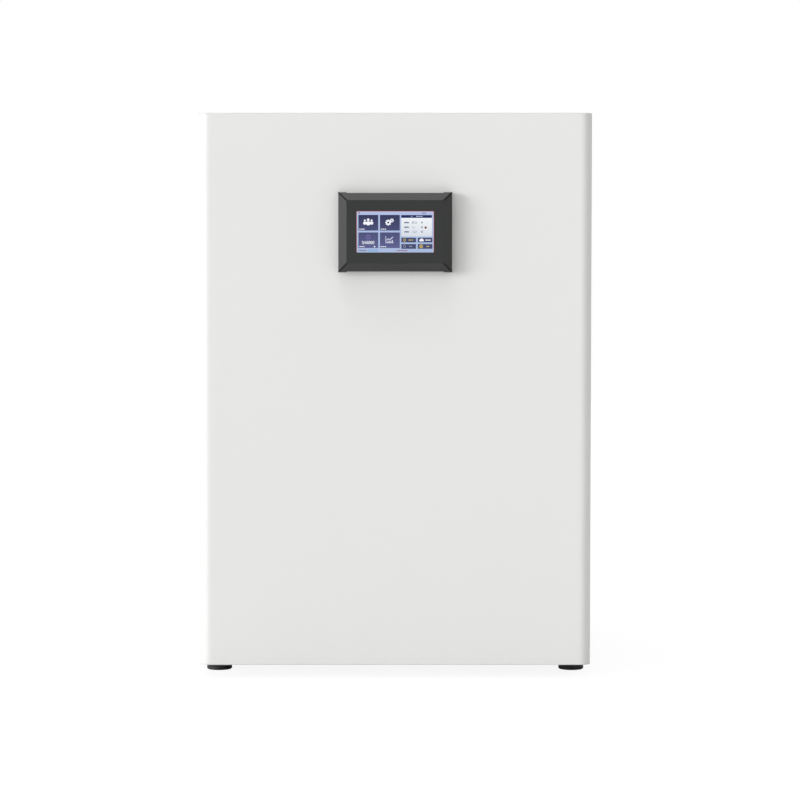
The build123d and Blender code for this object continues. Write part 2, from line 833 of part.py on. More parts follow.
def make_temperature_probe():
    """The slim temperature probe with its gland behind the insulation."""
    rod = deep_rod(
        temperature_radius, temperature_x, probe_z, chamber_rear_y - temperature_reach, insulation_rear_y
    )
    rod = fillet(rod.faces().sort_by(Axis.Y)[0].edges(), 0.8 * temperature_radius)
    sleeve_front = chamber_rear_y - temperature_sleeve_reach
    sleeve = deep_rod(temperature_sleeve_radius, temperature_x, probe_z, sleeve_front, insulation_rear_y)
    plane = Plane(origin=(temperature_x, insulation_rear_y, probe_z), x_dir=(1, 0, 0), z_dir=(0, 1, 0))
    return rod + sleeve + extrude(plane * RegularPolygon(temperature_nut_radius, 6), temperature_nut_depth)


def make_gas_filter():
    """The in-line disc filter with its two spigots."""
    half = filter_thickness / 2
    disc = cross_rod(filter_radius, gas_y, filter_z, filter_x - half, filter_x + half)
    disc = fillet(disc.edges(), filter_thickness / 5)
    reach = half + filter_spigot
    return disc + cross_rod(gas_line_radius, gas_y, filter_z, filter_x - reach, filter_x + reach)


def make_gas_valve():
    """The solenoid valve: a brass-coloured block under its coil, on a bracket."""
    half = valve_width / 2
    depth = valve_body_depth / 2
    height = valve_body_height / 2
    bracket_rear = insulation_rear_y + valve_bracket_thickness
    bracket_half = valve_bracket_width / 2
    bracket_z = valve_bracket_height / 2
    valve = slab(nipple_x - half, nipple_x + half, gas_y - depth, gas_y + depth, valve_z - height, valve_z + height)
    valve += upright_rod(
        valve_port_radius, nipple_x, gas_y, valve_z - valve_height / 2, valve_z + valve_height / 2
    )
    valve += deep_rod(valve_coil_radius, nipple_x, valve_z, bracket_rear, gas_y - depth)
    valve += slab(
        nipple_x - bracket_half, nipple_x + bracket_half, insulation_rear_y, bracket_rear,
        valve_z - bracket_z, valve_z + bracket_z,
    )
    return valve


def gas_tube(points):
    """A round tube along straight runs joined by arcs."""
    path = FilletPolyline(*points, radius=gas_line_bend)
    start = Plane(origin=path @ 0, z_dir=path % 0)
    return sweep(start * Circle(gas_line_radius), path=path)


def make_gas_tubes():
    """The tubes from the inlet nipple by way of the valve and the filter to the nozzle."""
    valve_top = valve_z + valve_height / 2
    valve_low = valve_z - valve_height / 2
    spigot = filter_thickness / 2 + filter_spigot
    inlet_run = gas_tube([
        (nipple_x, rear_y - nipple_inside, nipple_z),
        (nipple_x, gas_y, nipple_z),
        (nipple_x, gas_y, valve_top),
    ])
    filter_run = gas_tube([
        (nipple_x, gas_y, valve_low),
        (nipple_x, gas_y, filter_z),
        (filter_x + spigot, gas_y, filter_z),
    ])
    nozzle_run = gas_tube([
        (filter_x - spigot, gas_y, filter_z),
        (nozzle_x, gas_y, filter_z),
        (nozzle_x, gas_y, probe_z),
        (nozzle_x, insulation_rear_y + probe_flange, probe_z),
    ])
    return [inlet_run, filter_run, nozzle_run]


def make_gas_inlet():
    """The hose nipple on the rear panel: a plain spigot, a hexagon and a lock nut inside."""
    tip_y = rear_y + rear_proud
    spigot = deep_rod(nipple_radius, nipple_x, nipple_z, panel_face_y, tip_y)
    spigot = chamfer(spigot.faces().sort_by(Axis.Y)[-1].edges(), nipple_radius / 5)
    stem = deep_rod(nipple_thread_radius, nipple_x, nipple_z, rear_y - nipple_inside, panel_face_y)
    outside = Plane(origin=(nipple_x, panel_face_y, nipple_z), x_dir=(1, 0, 0), z_dir=(0, 1, 0))
    inside = Plane(origin=(nipple_x, rear_y, nipple_z), x_dir=(1, 0, 0), z_dir=(0, -1, 0))
    hexagon = extrude(outside * RegularPolygon(nipple_hexagon_radius, 6), nipple_hexagon_depth)
    nut = extrude(inside * RegularPolygon(nipple_nut_radius, 6), nipple_nut_depth)
    return spigot + stem + hexagon + nut


# Access port


def make_access_sleeve():
    """The tube through the back of the chamber, with a flange outside."""
    outer = port_bore_radius + port_wall
    tip_y = panel_face_y + port_flange_thickness
    sleeve = deep_rod(outer, port_x, port_z, chamber_rear_y, tip_y)
    sleeve += deep_rod(outer + port_flange, port_x, port_z, panel_face_y, tip_y)
    return sleeve - deep_rod(port_bore_radius, port_x, port_z, chamber_rear_y, tip_y)


def make_access_plug():
    """The silicone stopper, with a ribbed grip outside."""
    grip_front = panel_face_y + port_flange_thickness + soft_clearance
    grip_rear = rear_y + rear_proud
    shank = deep_rod(port_bore_radius - soft_clearance, port_x, port_z, rear_y - plug_depth, grip_front)
    shank = chamfer(shank.faces().sort_by(Axis.Y)[0].edges(), plug_rib_radius / 2)
    grip = deep_rod(plug_grip_radius, port_x, port_z, grip_front, grip_rear)
    grip = fillet(grip.faces().sort_by(Axis.Y)[-1].edges(), plug_rib_radius)
    spin = Axis((port_x, 0, port_z), (0, 1, 0))
    notch_z = port_z + plug_grip_radius + plug_rib_radius / 3
    rib_notch = deep_rod(plug_rib_radius, port_x, notch_z, grip_front, grip_rear)
    for step in range(plug_rib_count):
        grip -= rib_notch.rotate(spin, step * 360 / plug_rib_count)
    return shank + grip


# Electronics on the tray


def make_control_board():
    """The controller: a board on four pillars with its relays, capacitors and terminals."""
    x0, x1 = -(half_width - board_from_side), -board_from_fan
    y0 = front_y + board_from_front
    y1 = y0 + board_depth
    low = motor_plate_z + pillar_height
    top = low + board_thickness
    board = slab(x0, x1, y0, y1, low, top)
    for x in (x0 + pillar_from_edge, x1 - pillar_from_edge):
        for y in (y0 + pillar_from_edge, y1 - pillar_from_edge):
            board += upright_rod(pillar_radius, x, y, motor_plate_z, low)
    for step in range(relay_count):
        y = y0 + part_margin + step * relay_pitch
        x = x0 + part_margin
        board += slab(x, x + relay_width, y, y + relay_depth, top, top + relay_height)
    for step in range(capacitor_count):
        y = y0 + 2 * part_margin + step * capacitor_pitch
        board += upright_rod(capacitor_radius, x1 - part_margin, y, top, top + capacitor_height)
    terminal_y = y1 - part_margin
    board += slab(
        x0 + part_margin, x1 - part_margin, terminal_y - terminal_depth, terminal_y, top, top + terminal_height
    )
    chip_x = (x0 + x1) / 2
    chip_y = (y0 + y1) / 2
    return board + Pos(chip_x, chip_y, top + chip_height / 2) * Box(chip_size, chip_size, chip_height)


def make_power_supply():
    """The caged power supply with vent slots in its cover."""
    x0, x1 = supply_from_middle, half_width - supply_from_side
    y0 = front_y + supply_from_front
    high = motor_plate_z + supply_height
    supply = slab(x0, x1, y0, y0 + supply_depth, motor_plate_z, high)
    vent_x0 = x0 + supply_vent_margin
    vent_x1 = x1 - supply_vent_margin
    for step in range(supply_vent_count):
        y = y0 + supply_vent_margin + step * supply_vent_pitch
        supply -= slab(vent_x0, vent_x1, y, y + supply_vent_width, high - supply_vent_depth, high)
    return supply


# Mains inlet with its switch and fuse drawer

inlet_flange = 2.0
inlet_flange_rim = 5.0
inlet_depth = 34.0
inlet_corner = 2.0
socket_width = 25.0
socket_height = 17.0
socket_depth = 17.0
socket_corner = 3.0
socket_below_middle = 22.0
socket_pin_spread = 7.0
socket_pin_width = 2.0
socket_pin_height = 4.0
socket_pin_sunk = 6.0
rocker_above_middle = 24.0
rocker_width = 20.0
rocker_height = 25.0
rocker_depth = 6.5
rocker_rise = 4.5
rocker_dip = 1.5
rocker_taper = 3.0
rocker_tilt = 10.0
rocker_side_clearance = 0.4
rocker_end_clearance = 1.2
rocker_window_depth = 18.0
rocker_axis_sunk = 4.0
trunnion_radius = 2.0
trunnion_reach = 1.6
fuse_above_middle = 1.0
fuse_width = 25.0
fuse_height = 12.0
fuse_depth = 24.0
fuse_front_rim = 1.5
fuse_front_depth = 2.3
fuse_wall = 2.0
fuse_nose = 3.0

inlet_face_y = panel_face_y + inlet_flange
socket_z = inlet_z - socket_below_middle
rocker_z = inlet_z + rocker_above_middle
rocker_axis_y = inlet_face_y - rocker_axis_sunk
fuse_z = inlet_z + fuse_above_middle


def inlet_block(width, height, z, y_front, y_back):
    """A square-cornered block on the inlet's centre line."""
    return slab(inlet_x - width / 2, inlet_x + width / 2, y_front, y_back, z - height / 2, z + height / 2)


def inlet_body(y_front, y_back):
    """The part of the inlet that passes through the rear panel."""
    return facing_plate(
        inlet_width - 2 * inlet_corner, inlet_height - 2 * inlet_corner, inlet_corner,
        y_front, y_back, x=inlet_x, z=inlet_z,
    )


def rocker_trunnion(radius):
    """The short pivot pins on the rocker's two sides, as one bar."""
    half = rocker_width / 2 + trunnion_reach
    return cross_rod(radius, rocker_axis_y, rocker_z, inlet_x - half, inlet_x + half)


def make_power_inlet():
    """A three-pin appliance inlet in one moulding with the switch window and the fuse slot."""
    face_y = inlet_face_y
    rim = 2 * (inlet_flange_rim - inlet_corner)
    inlet = facing_plate(
        inlet_width + rim, inlet_height + rim, 2 * inlet_corner, panel_face_y, face_y, x=inlet_x, z=inlet_z
    )
    inlet += inlet_body(face_y - inlet_depth, panel_face_y)
    inlet -= facing_plate(
        socket_width, socket_height, socket_corner, face_y - socket_depth, face_y, x=inlet_x, z=socket_z
    )
    window_width = rocker_width + 2 * rocker_side_clearance
    window_height = rocker_height + 2 * rocker_end_clearance
    inlet -= inlet_block(window_width, window_height, rocker_z, face_y - rocker_window_depth, face_y)
    inlet -= rocker_trunnion(trunnion_radius + running_clearance)
    gap = slide_clearance
    inlet -= inlet_block(fuse_width + 2 * gap, fuse_height + 2 * gap, fuse_z, face_y - fuse_depth - gap, face_y)
    for side in (-1, 0, 1):
        lift = socket_pin_width if side == 0 else -socket_pin_width
        pin = inlet_block(
            socket_pin_width, socket_pin_height, socket_z + lift, face_y - socket_depth, face_y - socket_pin_sunk
        )
        inlet += Pos(side * socket_pin_spread, 0, 0) * pin
    return inlet


def make_mains_rocker():
    """The switch rocker: a shallow V seen from the side, tilted to its off position on two pins."""
    half = rocker_height / 2
    foot = half - rocker_taper
    profile = make_face(Polyline(
        (-half, rocker_rise),
        (0.0, rocker_rise - rocker_dip),
        (half, rocker_rise),
        (foot, -rocker_depth),
        (-foot, -rocker_depth),
        (-half, rocker_rise),
    ))
    start_x = inlet_x + rocker_width / 2
    plane = Plane(origin=(start_x, rocker_axis_y, rocker_z), x_dir=(0, 0, 1), z_dir=(-1, 0, 0))
    rocker = extrude(plane * profile, rocker_width)
    rocker = rocker.rotate(Axis((inlet_x, rocker_axis_y, rocker_z), (1, 0, 0)), -rocker_tilt)
    return rocker + rocker_trunnion(trunnion_radius)


def make_fuse_drawer():
    """The drawer that holds the fuses, with a front that a fingernail can catch."""
    face_y = inlet_face_y
    neck_y = face_y + press_clearance
    drawer = inlet_block(fuse_width, fuse_height, fuse_z, face_y - fuse_depth, neck_y)
    drawer += facing_plate(
        fuse_width + 2 * fuse_front_rim, fuse_height + 2 * fuse_front_rim - 1.0, fuse_front_rim,
        neck_y, neck_y + fuse_front_depth, x=inlet_x, z=fuse_z,
    )
    bay_width = fuse_width - 2 * fuse_wall
    bay = inlet_block(
        bay_width, fuse_height - fuse_wall, fuse_z + fuse_wall / 2, face_y - fuse_depth + fuse_wall, face_y - fuse_nose
    )
    return drawer - bay


# Outer door hinge


def hinge_leaf_block(grow):
    """The upper hinge's screw leaf, set flush into the front frame."""
    x1 = half_width - sheet - hinge_leaf_from_side + grow
    x0 = x1 - hinge_leaf_width - 2 * grow
    z1 = top_z - hinge_arm_from_edge
    return slab(x0, x1, front_y, front_y + hinge_leaf_thickness, z1 - hinge_leaf_height, z1)


def make_upper_hinge():
    """A flush leaf, a forward arm with a round end, and a hollow pin that points down."""
    arm_high = top_z - hinge_arm_from_edge
    arm_low = arm_high - hinge_arm_thickness
    half = hinge_arm_width / 2
    arm = slab(pivot_x - half, pivot_x + half, pivot_y, front_y, arm_low, arm_high)
    arm += upright_rod(half, pivot_x, pivot_y, arm_low, arm_high)
    pin = upright_rod(hinge_pin_radius, pivot_x, pivot_y, arm_low - hinge_pin_length, arm_low)
    hinge = hinge_leaf_block(0.0) + arm + pin
    return hinge - upright_rod(hinge_wire_hole_radius, pivot_x, pivot_y, arm_low - hinge_pin_length, arm_high)


def bush_limits():
    """The upper bush's flange top, flange underside and lower end."""
    flange_high = top_z - hinge_notch_height + bush_flange
    flange_low = top_z - hinge_notch_height
    return flange_high, flange_low, flange_low - hinge_pin_length + 3.0


def make_upper_bush():
    """The plastic bush that turns on the pin."""
    high, seat, low = bush_limits()
    bore = hinge_pin_radius + running_clearance
    outer = bore + bush_wall
    bush = upright_rod(outer, pivot_x, pivot_y, low, seat)
    bush += upright_rod(outer + bush_flange_width, pivot_x, pivot_y, seat, high)
    return bush - upright_rod(bore, pivot_x, pivot_y, low, high)


def make_upper_hinge_block():
    """The steel block inside the door corner that the bush is pressed into."""
    seat = top_z - hinge_notch_height - sheet
    low = bush_limits()[2]
    side = half_width - sheet
    block = slab(pivot_x - 12.0, side, pivot_y - 12.0, pivot_y + 8.0, low, seat)
    bore = hinge_pin_radius + running_clearance + bush_wall + press_clearance
    return block - upright_rod(bore, pivot_x, pivot_y, low, seat)


# Outer door


def hinge_notch(grow):
    """The room the hinge arm needs in the door's upper corner, open at the top, side and back."""
    x0 = pivot_x - hinge_arm_width / 2 - 1.5 - grow
    y0 = pivot_y - hinge_notch_reach - grow
    z0 = top_z - hinge_notch_height - grow
    return slab(x0, half_width + 1.0, y0, door_rear_y + 1.0, z0, top_z + 1.0)


def door_form(inset, y_back):
    """The door's outline drawn in by inset, with rounded front edges and both hinge notches."""
    x = half_width - inset
    y0 = door_front_y + inset
    form = slab(-x, x, y0, y_back, base_z + inset, top_z - inset)
    front_edges = form.edges().filter_by(Axis.Z).sort_by(Axis.Y)[:2]
    form = fillet(front_edges, door_edge_radius - inset)
    for notch in top_and_bottom(hinge_notch(inset)):
        form -= notch
    return form


grip_z = chamber_z + 60.0
grip_length = 130.0
grip_width = 26.0
grip_depth = 20.0
grip_wall = 2.0
grip_y = (door_front_y + door_edge_radius + door_rear_y) / 2


def grip_block(grow, x_out, depth):
    """The grip's form let into the free edge of the door."""
    plane = Plane(origin=(x_out, grip_y, grip_z), x_dir=(0, 1, 0), z_dir=(1, 0, 0))
    outline = RectangleRounded(grip_width + 2 * grow, grip_length + 2 * grow, 8.0 + grow)
    return extrude(plane * outline, depth)


def make_door_skin():
    """The front skin, a deep tray with rounded upright edges."""
    skin = door_form(0.0, door_rear_y) - door_form(sheet, door_rear_y + 1.0)
    skin -= grip_block(grip_wall, -half_width, sheet)
    wire_hole = facing_plate(70.0, 30.0, 5.0, door_front_y, door_front_y + sheet, z=display_z)
    skin -= wire_hole
    for bush_hole in top_and_bottom(bush_hole_rod()):
        skin -= bush_hole
    return skin


def bush_hole_rod():
    seat = top_z - hinge_notch_height
    radius = hinge_pin_radius + running_clearance + bush_wall + press_clearance
    return upright_rod(radius, pivot_x, pivot_y, seat - sheet, seat)


def recess_form(grow, depth):
    """The dish in the door's inner panel that clears the glass door."""
    height = chamber_height + 2 * recess_above_chamber
    return facing_plate(
        2 * (recess_half_width + grow), height + 2 * grow, recess_corner + grow,
        door_rear_y - depth, door_rear_y, z=chamber_z, draft=recess_draft,
    )


def make_door_panel():
    """The moulded inner panel: a flat rim and a drafted dish with a rounded floor."""
    rim = door_form(sheet + press_clearance, door_rear_y)
    rim &= slab(-half_width, half_width, door_rear_y - door_panel_wall, door_rear_y, base_z, top_z)
    dish = recess_form(door_panel_wall, recess_depth + door_panel_wall)
    well = recess_form(0.0, recess_depth)
    well = fillet(well.faces().sort_by(Axis.Y)[0].edges(), 8.0)
    return rim + dish - well


def make_door_insulation():
    """The foam that fills the door between the skin and the inner panel."""
    foam = door_form(sheet + soft_clearance, door_rear_y - door_panel_wall - soft_clearance)
    foam -= recess_form(door_panel_wall + soft_clearance + 1.5, recess_depth + door_panel_wall + 2.5)
    foam -= grip_block(grip_wall + soft_clearance, -half_width, grip_depth + grip_wall + soft_clearance)
    for block in top_and_bottom(hinge_pocket()):
        foam -= block
    wire_hole = facing_plate(72.0, 32.0, 5.0, door_front_y, door_front_y + 14.0, z=display_z)
    return foam - wire_hole


def hinge_pocket():
    gap = soft_clearance
    low = bush_limits()[2] - 6.0
    return slab(pivot_x - 12.0 - gap, half_width, pivot_y - 12.0 - gap, door_rear_y, low - gap, top_z)


def make_door_heater():
    """A thin heater mat behind the dish that keeps the glass clear of dew."""
    y1 = door_rear_y - recess_depth - door_panel_wall
    width = 2 * recess_half_width - 60.0
    height = chamber_height + 2 * recess_above_chamber - 60.0
    return facing_plate(width, height, 20.0, y1 - 1.5, y1, z=chamber_z)


def make_door_gasket():
    """The magnetic bulb gasket round the door's rim."""
    width = cabinet_width - 2 * gasket_inset
    height = cabinet_height - 2 * gasket_inset
    y1 = front_y - soft_clearance
    outer = facing_plate(width, height, 12.0, door_rear_y, y1, z=middle_z)
    inner_width = width - 2 * gasket_width
    inner_height = height - 2 * gasket_width
    ring = outer - facing_plate(inner_width, inner_height, 4.0, door_rear_y, y1, z=middle_z)
    waist = 1.6
    y_mid = door_rear_y + 2.2
    side_cut = facing_plate(width + 4.0, height + 4.0, 12.0, y_mid, y_mid + waist, z=middle_z)
    side_cut -= facing_plate(width - 2 * waist, height - 2 * waist, 12.0 - waist, y_mid, y_mid + waist, z=middle_z)
    ring -= side_cut
    return chamfer(ring.faces().sort_by(Axis.Y)[-1].edges(), 2.0)


def make_door_grip():
    """The finger cup in the door's free edge."""
    cup = grip_block(grip_wall, -half_width, grip_depth + grip_wall)
    cup = fillet(cup.faces().sort_by(Axis.X)[-1].edges(), 7.0)
    well = grip_block(0.0, -half_width, grip_depth)
    well = fillet(well.faces().sort_by(Axis.X)[-1].edges(), 5.0)
    return cup - well


# Touch display


def display_form(inset):
    """The bezel's outer form: a shallow box with bevelled edges, drawn in by inset."""
    front = door_front_y - display_proud + inset
    shoulder = door_front_y - display_proud + display_bevel + inset * 0.6
    width = display_width - 2 * inset
    height = display_height - 2 * inset
    face_plane = Plane(origin=(0, front, display_z), x_dir=(1, 0, 0), z_dir=(0, -1, 0))
    shoulder_plane = Plane(origin=(0, shoulder, display_z), x_dir=(1, 0, 0), z_dir=(0, -1, 0))
    slope = display_bevel - inset * 0.4
    top = loft([shoulder_plane * Rectangle(width, height), face_plane * Rectangle(width - 2 * slope, height - 2 * slope)])
    box = slab(-width / 2, width / 2, shoulder, door_front_y, display_z - height / 2, display_z + height / 2)
    return top + box


def mitre_groove(side, level):
    """A square channel along one mitre line of the bevel."""
    face_corner = Vector(
        side * (display_width / 2 - display_bevel), door_front_y - display_proud,
        display_z + level * (display_height / 2 - display_bevel),
    )
    outer_corner = Vector(
        side * display_width / 2, door_front_y - display_proud + display_bevel, display_z + level * display_height / 2
    )
    direction = (outer_corner - face_corner).normalized()
    across = Vector(-level, 0, side).normalized()
    start = face_corner - direction * 2.0
    plane = Plane(origin=start, x_dir=across, z_dir=direction)
    return extrude(plane * Rectangle(display_groove, display_groove), (outer_corner - start).length + 4.0)


def make_display_bezel():
    """The display housing: four bevelled sides with mitre grooves round a recessed screen."""
    bezel = display_form(0.0) - display_form(display_wall)
    relief_half = display_width / 2 - display_bevel
    for level in (-1, 1):
        edge = display_z + level * display_height / 2
        low, high = sorted((edge - level * display_relief, edge + level))
        bezel -= slab(-relief_half, relief_half, door_front_y - display_proud, door_front_y, low, high)
    for side in (-1, 1):
        for level in (-1, 1):
            bezel -= mitre_groove(side, level)
    front = door_front_y - display_proud
    bezel -= facing_plate(screen_width, screen_height, 1.0, front, front + display_wall, z=display_z)
    rebate_width = screen_width + 2 * screen_border
    rebate_height = screen_height + 2 * screen_border
    return bezel - facing_plate(
        rebate_width, rebate_height, 1.0, front + screen_recess, front + display_wall, z=display_z
    )


def make_display_glass():
    """The touch glass, seated behind the lip of the window."""
    y0 = door_front_y - display_proud + screen_recess
    width = screen_width + 2 * (screen_border - press_clearance)
    height = screen_height + 2 * (screen_border - press_clearance)
    return facing_plate(width, height, 1.0, y0, y0 + screen_glass, z=display_z)


def make_display_module():
    """The display panel behind the glass, with the connector on its back."""
    y0 = door_front_y - display_proud + screen_recess + screen_glass
    panel = facing_plate(screen_width + 6.0, screen_height + 8.0, 1.5, y0, y0 + 4.0, z=display_z)
    connector = slab(-12.0, 12.0, y0 + 4.0, y0 + 7.0, display_z - 24.0, display_z - 18.0)
    return panel + connector


def make_display_board():
    """The display's processor board on its pillars."""
    y0 = door_front_y - display_proud + screen_recess + screen_glass + 4.0
    board = facing_plate(screen_width + 4.0, screen_height + 6.0, 2.0, y0 + 6.0, y0 + 7.6, z=display_z)
    for x in (-50.0, 50.0):
        for z in (-24.0, 24.0):
            board += deep_rod(2.5, x, display_z + z, y0, y0 + 6.0)
    board += slab(-15.0, 15.0, y0 + 7.6, y0 + 10.0, display_z - 12.0, display_z + 12.0)
    return board


# Inner glass door and its latch


def make_inner_glass():
    width = chamber_width + 2 * glass_overlap
    height = chamber_height + 2 * glass_overlap
    glass = facing_plate(width, height, chamber_corner, glass_front_y, glass_rear_y, z=chamber_z)
    return chamfer(glass.faces().sort_by(Axis.Y)[0].edges(), 0.8)


def make_inner_gasket():
    """The silicone seal round the glass, which meets the chamber's flange."""
    width = chamber_width + 2 * (glass_overlap - 1.0)
    height = chamber_height + 2 * (glass_overlap - 1.0)
    y1 = seal_y - soft_clearance
    outer = facing_plate(width, height, chamber_corner - 1.0, glass_rear_y, y1, z=chamber_z)
    inner = facing_plate(
        width - 2 * inner_gasket_width, height - 2 * inner_gasket_width, chamber_corner - inner_gasket_width,
        glass_rear_y, y1, z=chamber_z,
    )
    ring = outer - inner
    return chamfer(ring.faces().sort_by(Axis.Y)[-1].edges(), 1.2)


def inner_hinge_heights():
    half = chamber_height / 2 - inner_hinge_from_end
    return (chamber_z - half, chamber_z + half)


def make_inner_hinge_block(z):
    """A hinge block on the front frame: a foot, two ears and the pin between them."""
    half = inner_hinge_height / 2
    gap_half = inner_knuckle_height / 2 + slide_clearance
    x0 = inner_pivot_x - 6.5
    x1 = inner_pivot_x + 5.0
    foot = slab(x0, x1, front_y - 4.0, front_y, z - half, z + half)
    ears = slab(x0, x1, inner_pivot_y, front_y, z - half, z + half)
    ears += upright_rod(inner_knuckle_radius, inner_pivot_x, inner_pivot_y, z - half, z + half)
    ears -= slab(x0 - 1, x1 + 1, inner_pivot_y - 8.0, front_y - 4.0, z - gap_half, z + gap_half)
    pin = upright_rod(inner_pin_radius, inner_pivot_x, inner_pivot_y, z - half, z + half)
    return foot + ears + pin


def make_inner_leaf(z):
    """The leaf that clamps the glass, with the knuckle that turns on the pin."""
    half = inner_knuckle_height / 2
    x0 = inner_pivot_x - inner_leaf_reach
    plate_front = glass_front_y - inner_leaf_sheet
    leaf = slab(x0, inner_pivot_x, plate_front, glass_front_y, z - half, z + half)
    web_x = glass_half_width + soft_clearance
    web = slab(web_x, inner_pivot_x, glass_front_y, glass_rear_y - soft_clearance, z - half, z + half)
    knuckle = upright_rod(inner_knuckle_radius, inner_pivot_x, inner_pivot_y, z - half, z + half)
    leaf += web + knuckle
    for step in (0, 1):
        x = x0 + leaf_screw_from_end + step * leaf_screw_pitch
        leaf += deep_rod(leaf_screw_radius, x, z, plate_front - leaf_screw_head, plate_front)
    return leaf - upright_rod(inner_pin_radius + running_clearance, inner_pivot_x, inner_pivot_y, z - half, z + half)


def make_inner_knob():
    """The knob on the glass's free side."""
    x = knob_from_edge - glass_half_width
    neck_y = glass_front_y - knob_stem_length
    stem = deep_rod(knob_stem_radius, x, chamber_z, neck_y, glass_front_y)
    head = deep_rod(knob_radius, x, chamber_z, neck_y - knob_head_length, neck_y)
    return stem + fillet(head.edges(), knob_head_length / 4)


def make_latch_post():
    """The shouldered post on the front frame that the turn button swings on."""
    cap_rear = latch_front_y - slide_clearance
    cap_front = latch_front_y - latch_post_cap
    base = deep_rod(latch_post_base_radius, latch_x, chamber_z, latch_rear_y + slide_clearance, front_y)
    pin = deep_rod(latch_post_radius, latch_x, chamber_z, cap_front, front_y)
    return base + pin + deep_rod(latch_post_radius + latch_post_cap_rim, latch_x, chamber_z, cap_front, cap_rear)


def make_inner_latch():
    """The turn button, stored upright and clear of the glass."""
    half = latch_width / 2
    tip_z = chamber_z + latch_length - half
    lever = slab(latch_x - half, latch_x + half, latch_front_y, latch_rear_y, chamber_z, tip_z)
    lever += deep_rod(half, latch_x, tip_z, latch_front_y, latch_rear_y)
    lever += deep_rod(half + latch_eye_rim, latch_x, chamber_z, latch_front_y, latch_rear_y)
    return lever - deep_rod(latch_post_radius + running_clearance, latch_x, chamber_z, latch_front_y, latch_rear_y)


def build():
    os.makedirs("parts", exist_ok=True)

    save("cabinet_wrap", make_cabinet_wrap())
    save("base_pan", make_base_pan())
    save("rear_panel", make_rear_panel())
    save("rear_panel_screws", make_rear_screws())
    save("front_frame", make_front_frame())
    for name, (x, y) in zip(("front_left", "rear_left", "front_right", "rear_right"), foot_places()):
        save(f"foot_{name}", make_foot(x, y))
    save("foot_screws", [make_foot_screw(x, y) for x, y in foot_places()])

    save("chamber_liner", make_chamber_liner())
    save("jacket_heaters", make_jacket_heaters())
    save("cabinet_insulation", make_cabinet_insulation())
    save("equipment_tray", make_equipment_tray())
    save("rack_uprights", make_rack_uprights())
    save("shelf_runners", make_shelf_runners())
    for name, height in zip(("lower", "middle", "upper"), shelf_heights):
        save(f"shelf_{name}", make_shelf(height))
    save("water_pan", make_water_pan())

    save("fan_motor_plate", make_fan_motor_plate())
    save("fan_motor", make_fan_motor())
    save("fan_shaft", make_fan_shaft())
    save("fan_wheel", make_fan_wheel())
    save("fan_cover", make_fan_cover())

    save("gas_inlet", make_gas_inlet())
    save("gas_valve", make_gas_valve())
    save("gas_filter", make_gas_filter())
    save("gas_tubes", make_gas_tubes())
    save("gas_nozzle", make_gas_nozzle())
    save("co2_sensor", make_co2_sensor())
    save("temperature_probe", make_temperature_probe())
    save("access_sleeve", make_access_sleeve())
    save("access_plug", make_access_plug())
    save("control_board", make_control_board())
    save("power_supply", make_power_supply())
    save("power_inlet", make_power_inlet())
    save("mains_rocker", make_mains_rocker())
    save("fuse_drawer", make_fuse_drawer())

    upper_hinge, lower_hinge = top_and_bottom(make_upper_hinge())
    save("door_hinge_upper", upper_hinge)
    save("door_hinge_lower", lower_hinge)
    save("door_hinge_blocks", top_and_bottom(make_upper_hinge_block()))
    save("door_hinge_bushes", top_and_bottom(make_upper_bush()))
    save("door_skin", make_door_skin())
    save("door_panel", make_door_panel())
    save("door_insulation", make_door_insulation())
    save("door_heater", make_door_heater())
    save("door_gasket", make_door_gasket())
    save("door_grip", make_door_grip())
    save("display_bezel", make_display_bezel())
    save("display_glass", make_display_glass())
    save("display_module", make_display_module())
    save("display_board", make_display_board())

    save("inner_door_glass", make_inner_glass())
    save("inner_door_gasket", make_inner_gasket())
    save("inner_hinge_blocks", [make_inner_hinge_block(z) for z in inner_hinge_heights()])
    save("inner_door_leaves", [make_inner_leaf(z) for z in inner_hinge_heights()])
    save("inner_door_knob", make_inner_knob())
    save("inner_latch_post", make_latch_post())
    save("inner_latch", make_inner_latch())


build()
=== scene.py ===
# %% [markdown]
# # A bench incubator: white cabinet, touch display, glass inner door
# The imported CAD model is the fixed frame. It already has every solid at its real size, so this script
# adds what a CAD model can't: finishes, soft seals, the lit screen, small fasteners and light.

# %% Load the frame
import bmesh
import bpy
import json
from math import cos, pi, radians, sin
from mathutils import Matrix, Vector


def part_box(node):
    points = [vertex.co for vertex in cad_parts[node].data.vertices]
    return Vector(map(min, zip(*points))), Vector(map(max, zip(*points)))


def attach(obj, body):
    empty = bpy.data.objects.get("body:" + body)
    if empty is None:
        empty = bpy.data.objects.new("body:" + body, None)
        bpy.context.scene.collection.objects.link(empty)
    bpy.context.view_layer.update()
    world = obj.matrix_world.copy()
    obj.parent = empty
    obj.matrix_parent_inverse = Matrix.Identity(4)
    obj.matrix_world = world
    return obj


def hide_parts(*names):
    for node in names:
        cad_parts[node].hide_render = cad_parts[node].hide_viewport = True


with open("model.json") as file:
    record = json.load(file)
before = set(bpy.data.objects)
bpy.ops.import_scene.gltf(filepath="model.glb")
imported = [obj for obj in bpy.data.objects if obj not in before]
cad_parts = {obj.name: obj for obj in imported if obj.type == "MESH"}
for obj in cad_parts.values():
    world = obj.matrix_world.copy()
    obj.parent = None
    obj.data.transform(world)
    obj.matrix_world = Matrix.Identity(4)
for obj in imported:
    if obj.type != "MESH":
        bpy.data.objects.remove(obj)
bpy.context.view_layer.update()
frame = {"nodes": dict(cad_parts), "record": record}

nodes = frame["nodes"]

# %% [markdown]
# ## Camera
# The photo was taken from a few metres away, on the cabinet's centre line and a little above its
# middle: the top face doesn't show, and the sides close in slightly towards the feet. A camera at
# three and a half metres with a long lens and a small downward pitch gives both. The lens shift
# then moves the picture up without changing that perspective.

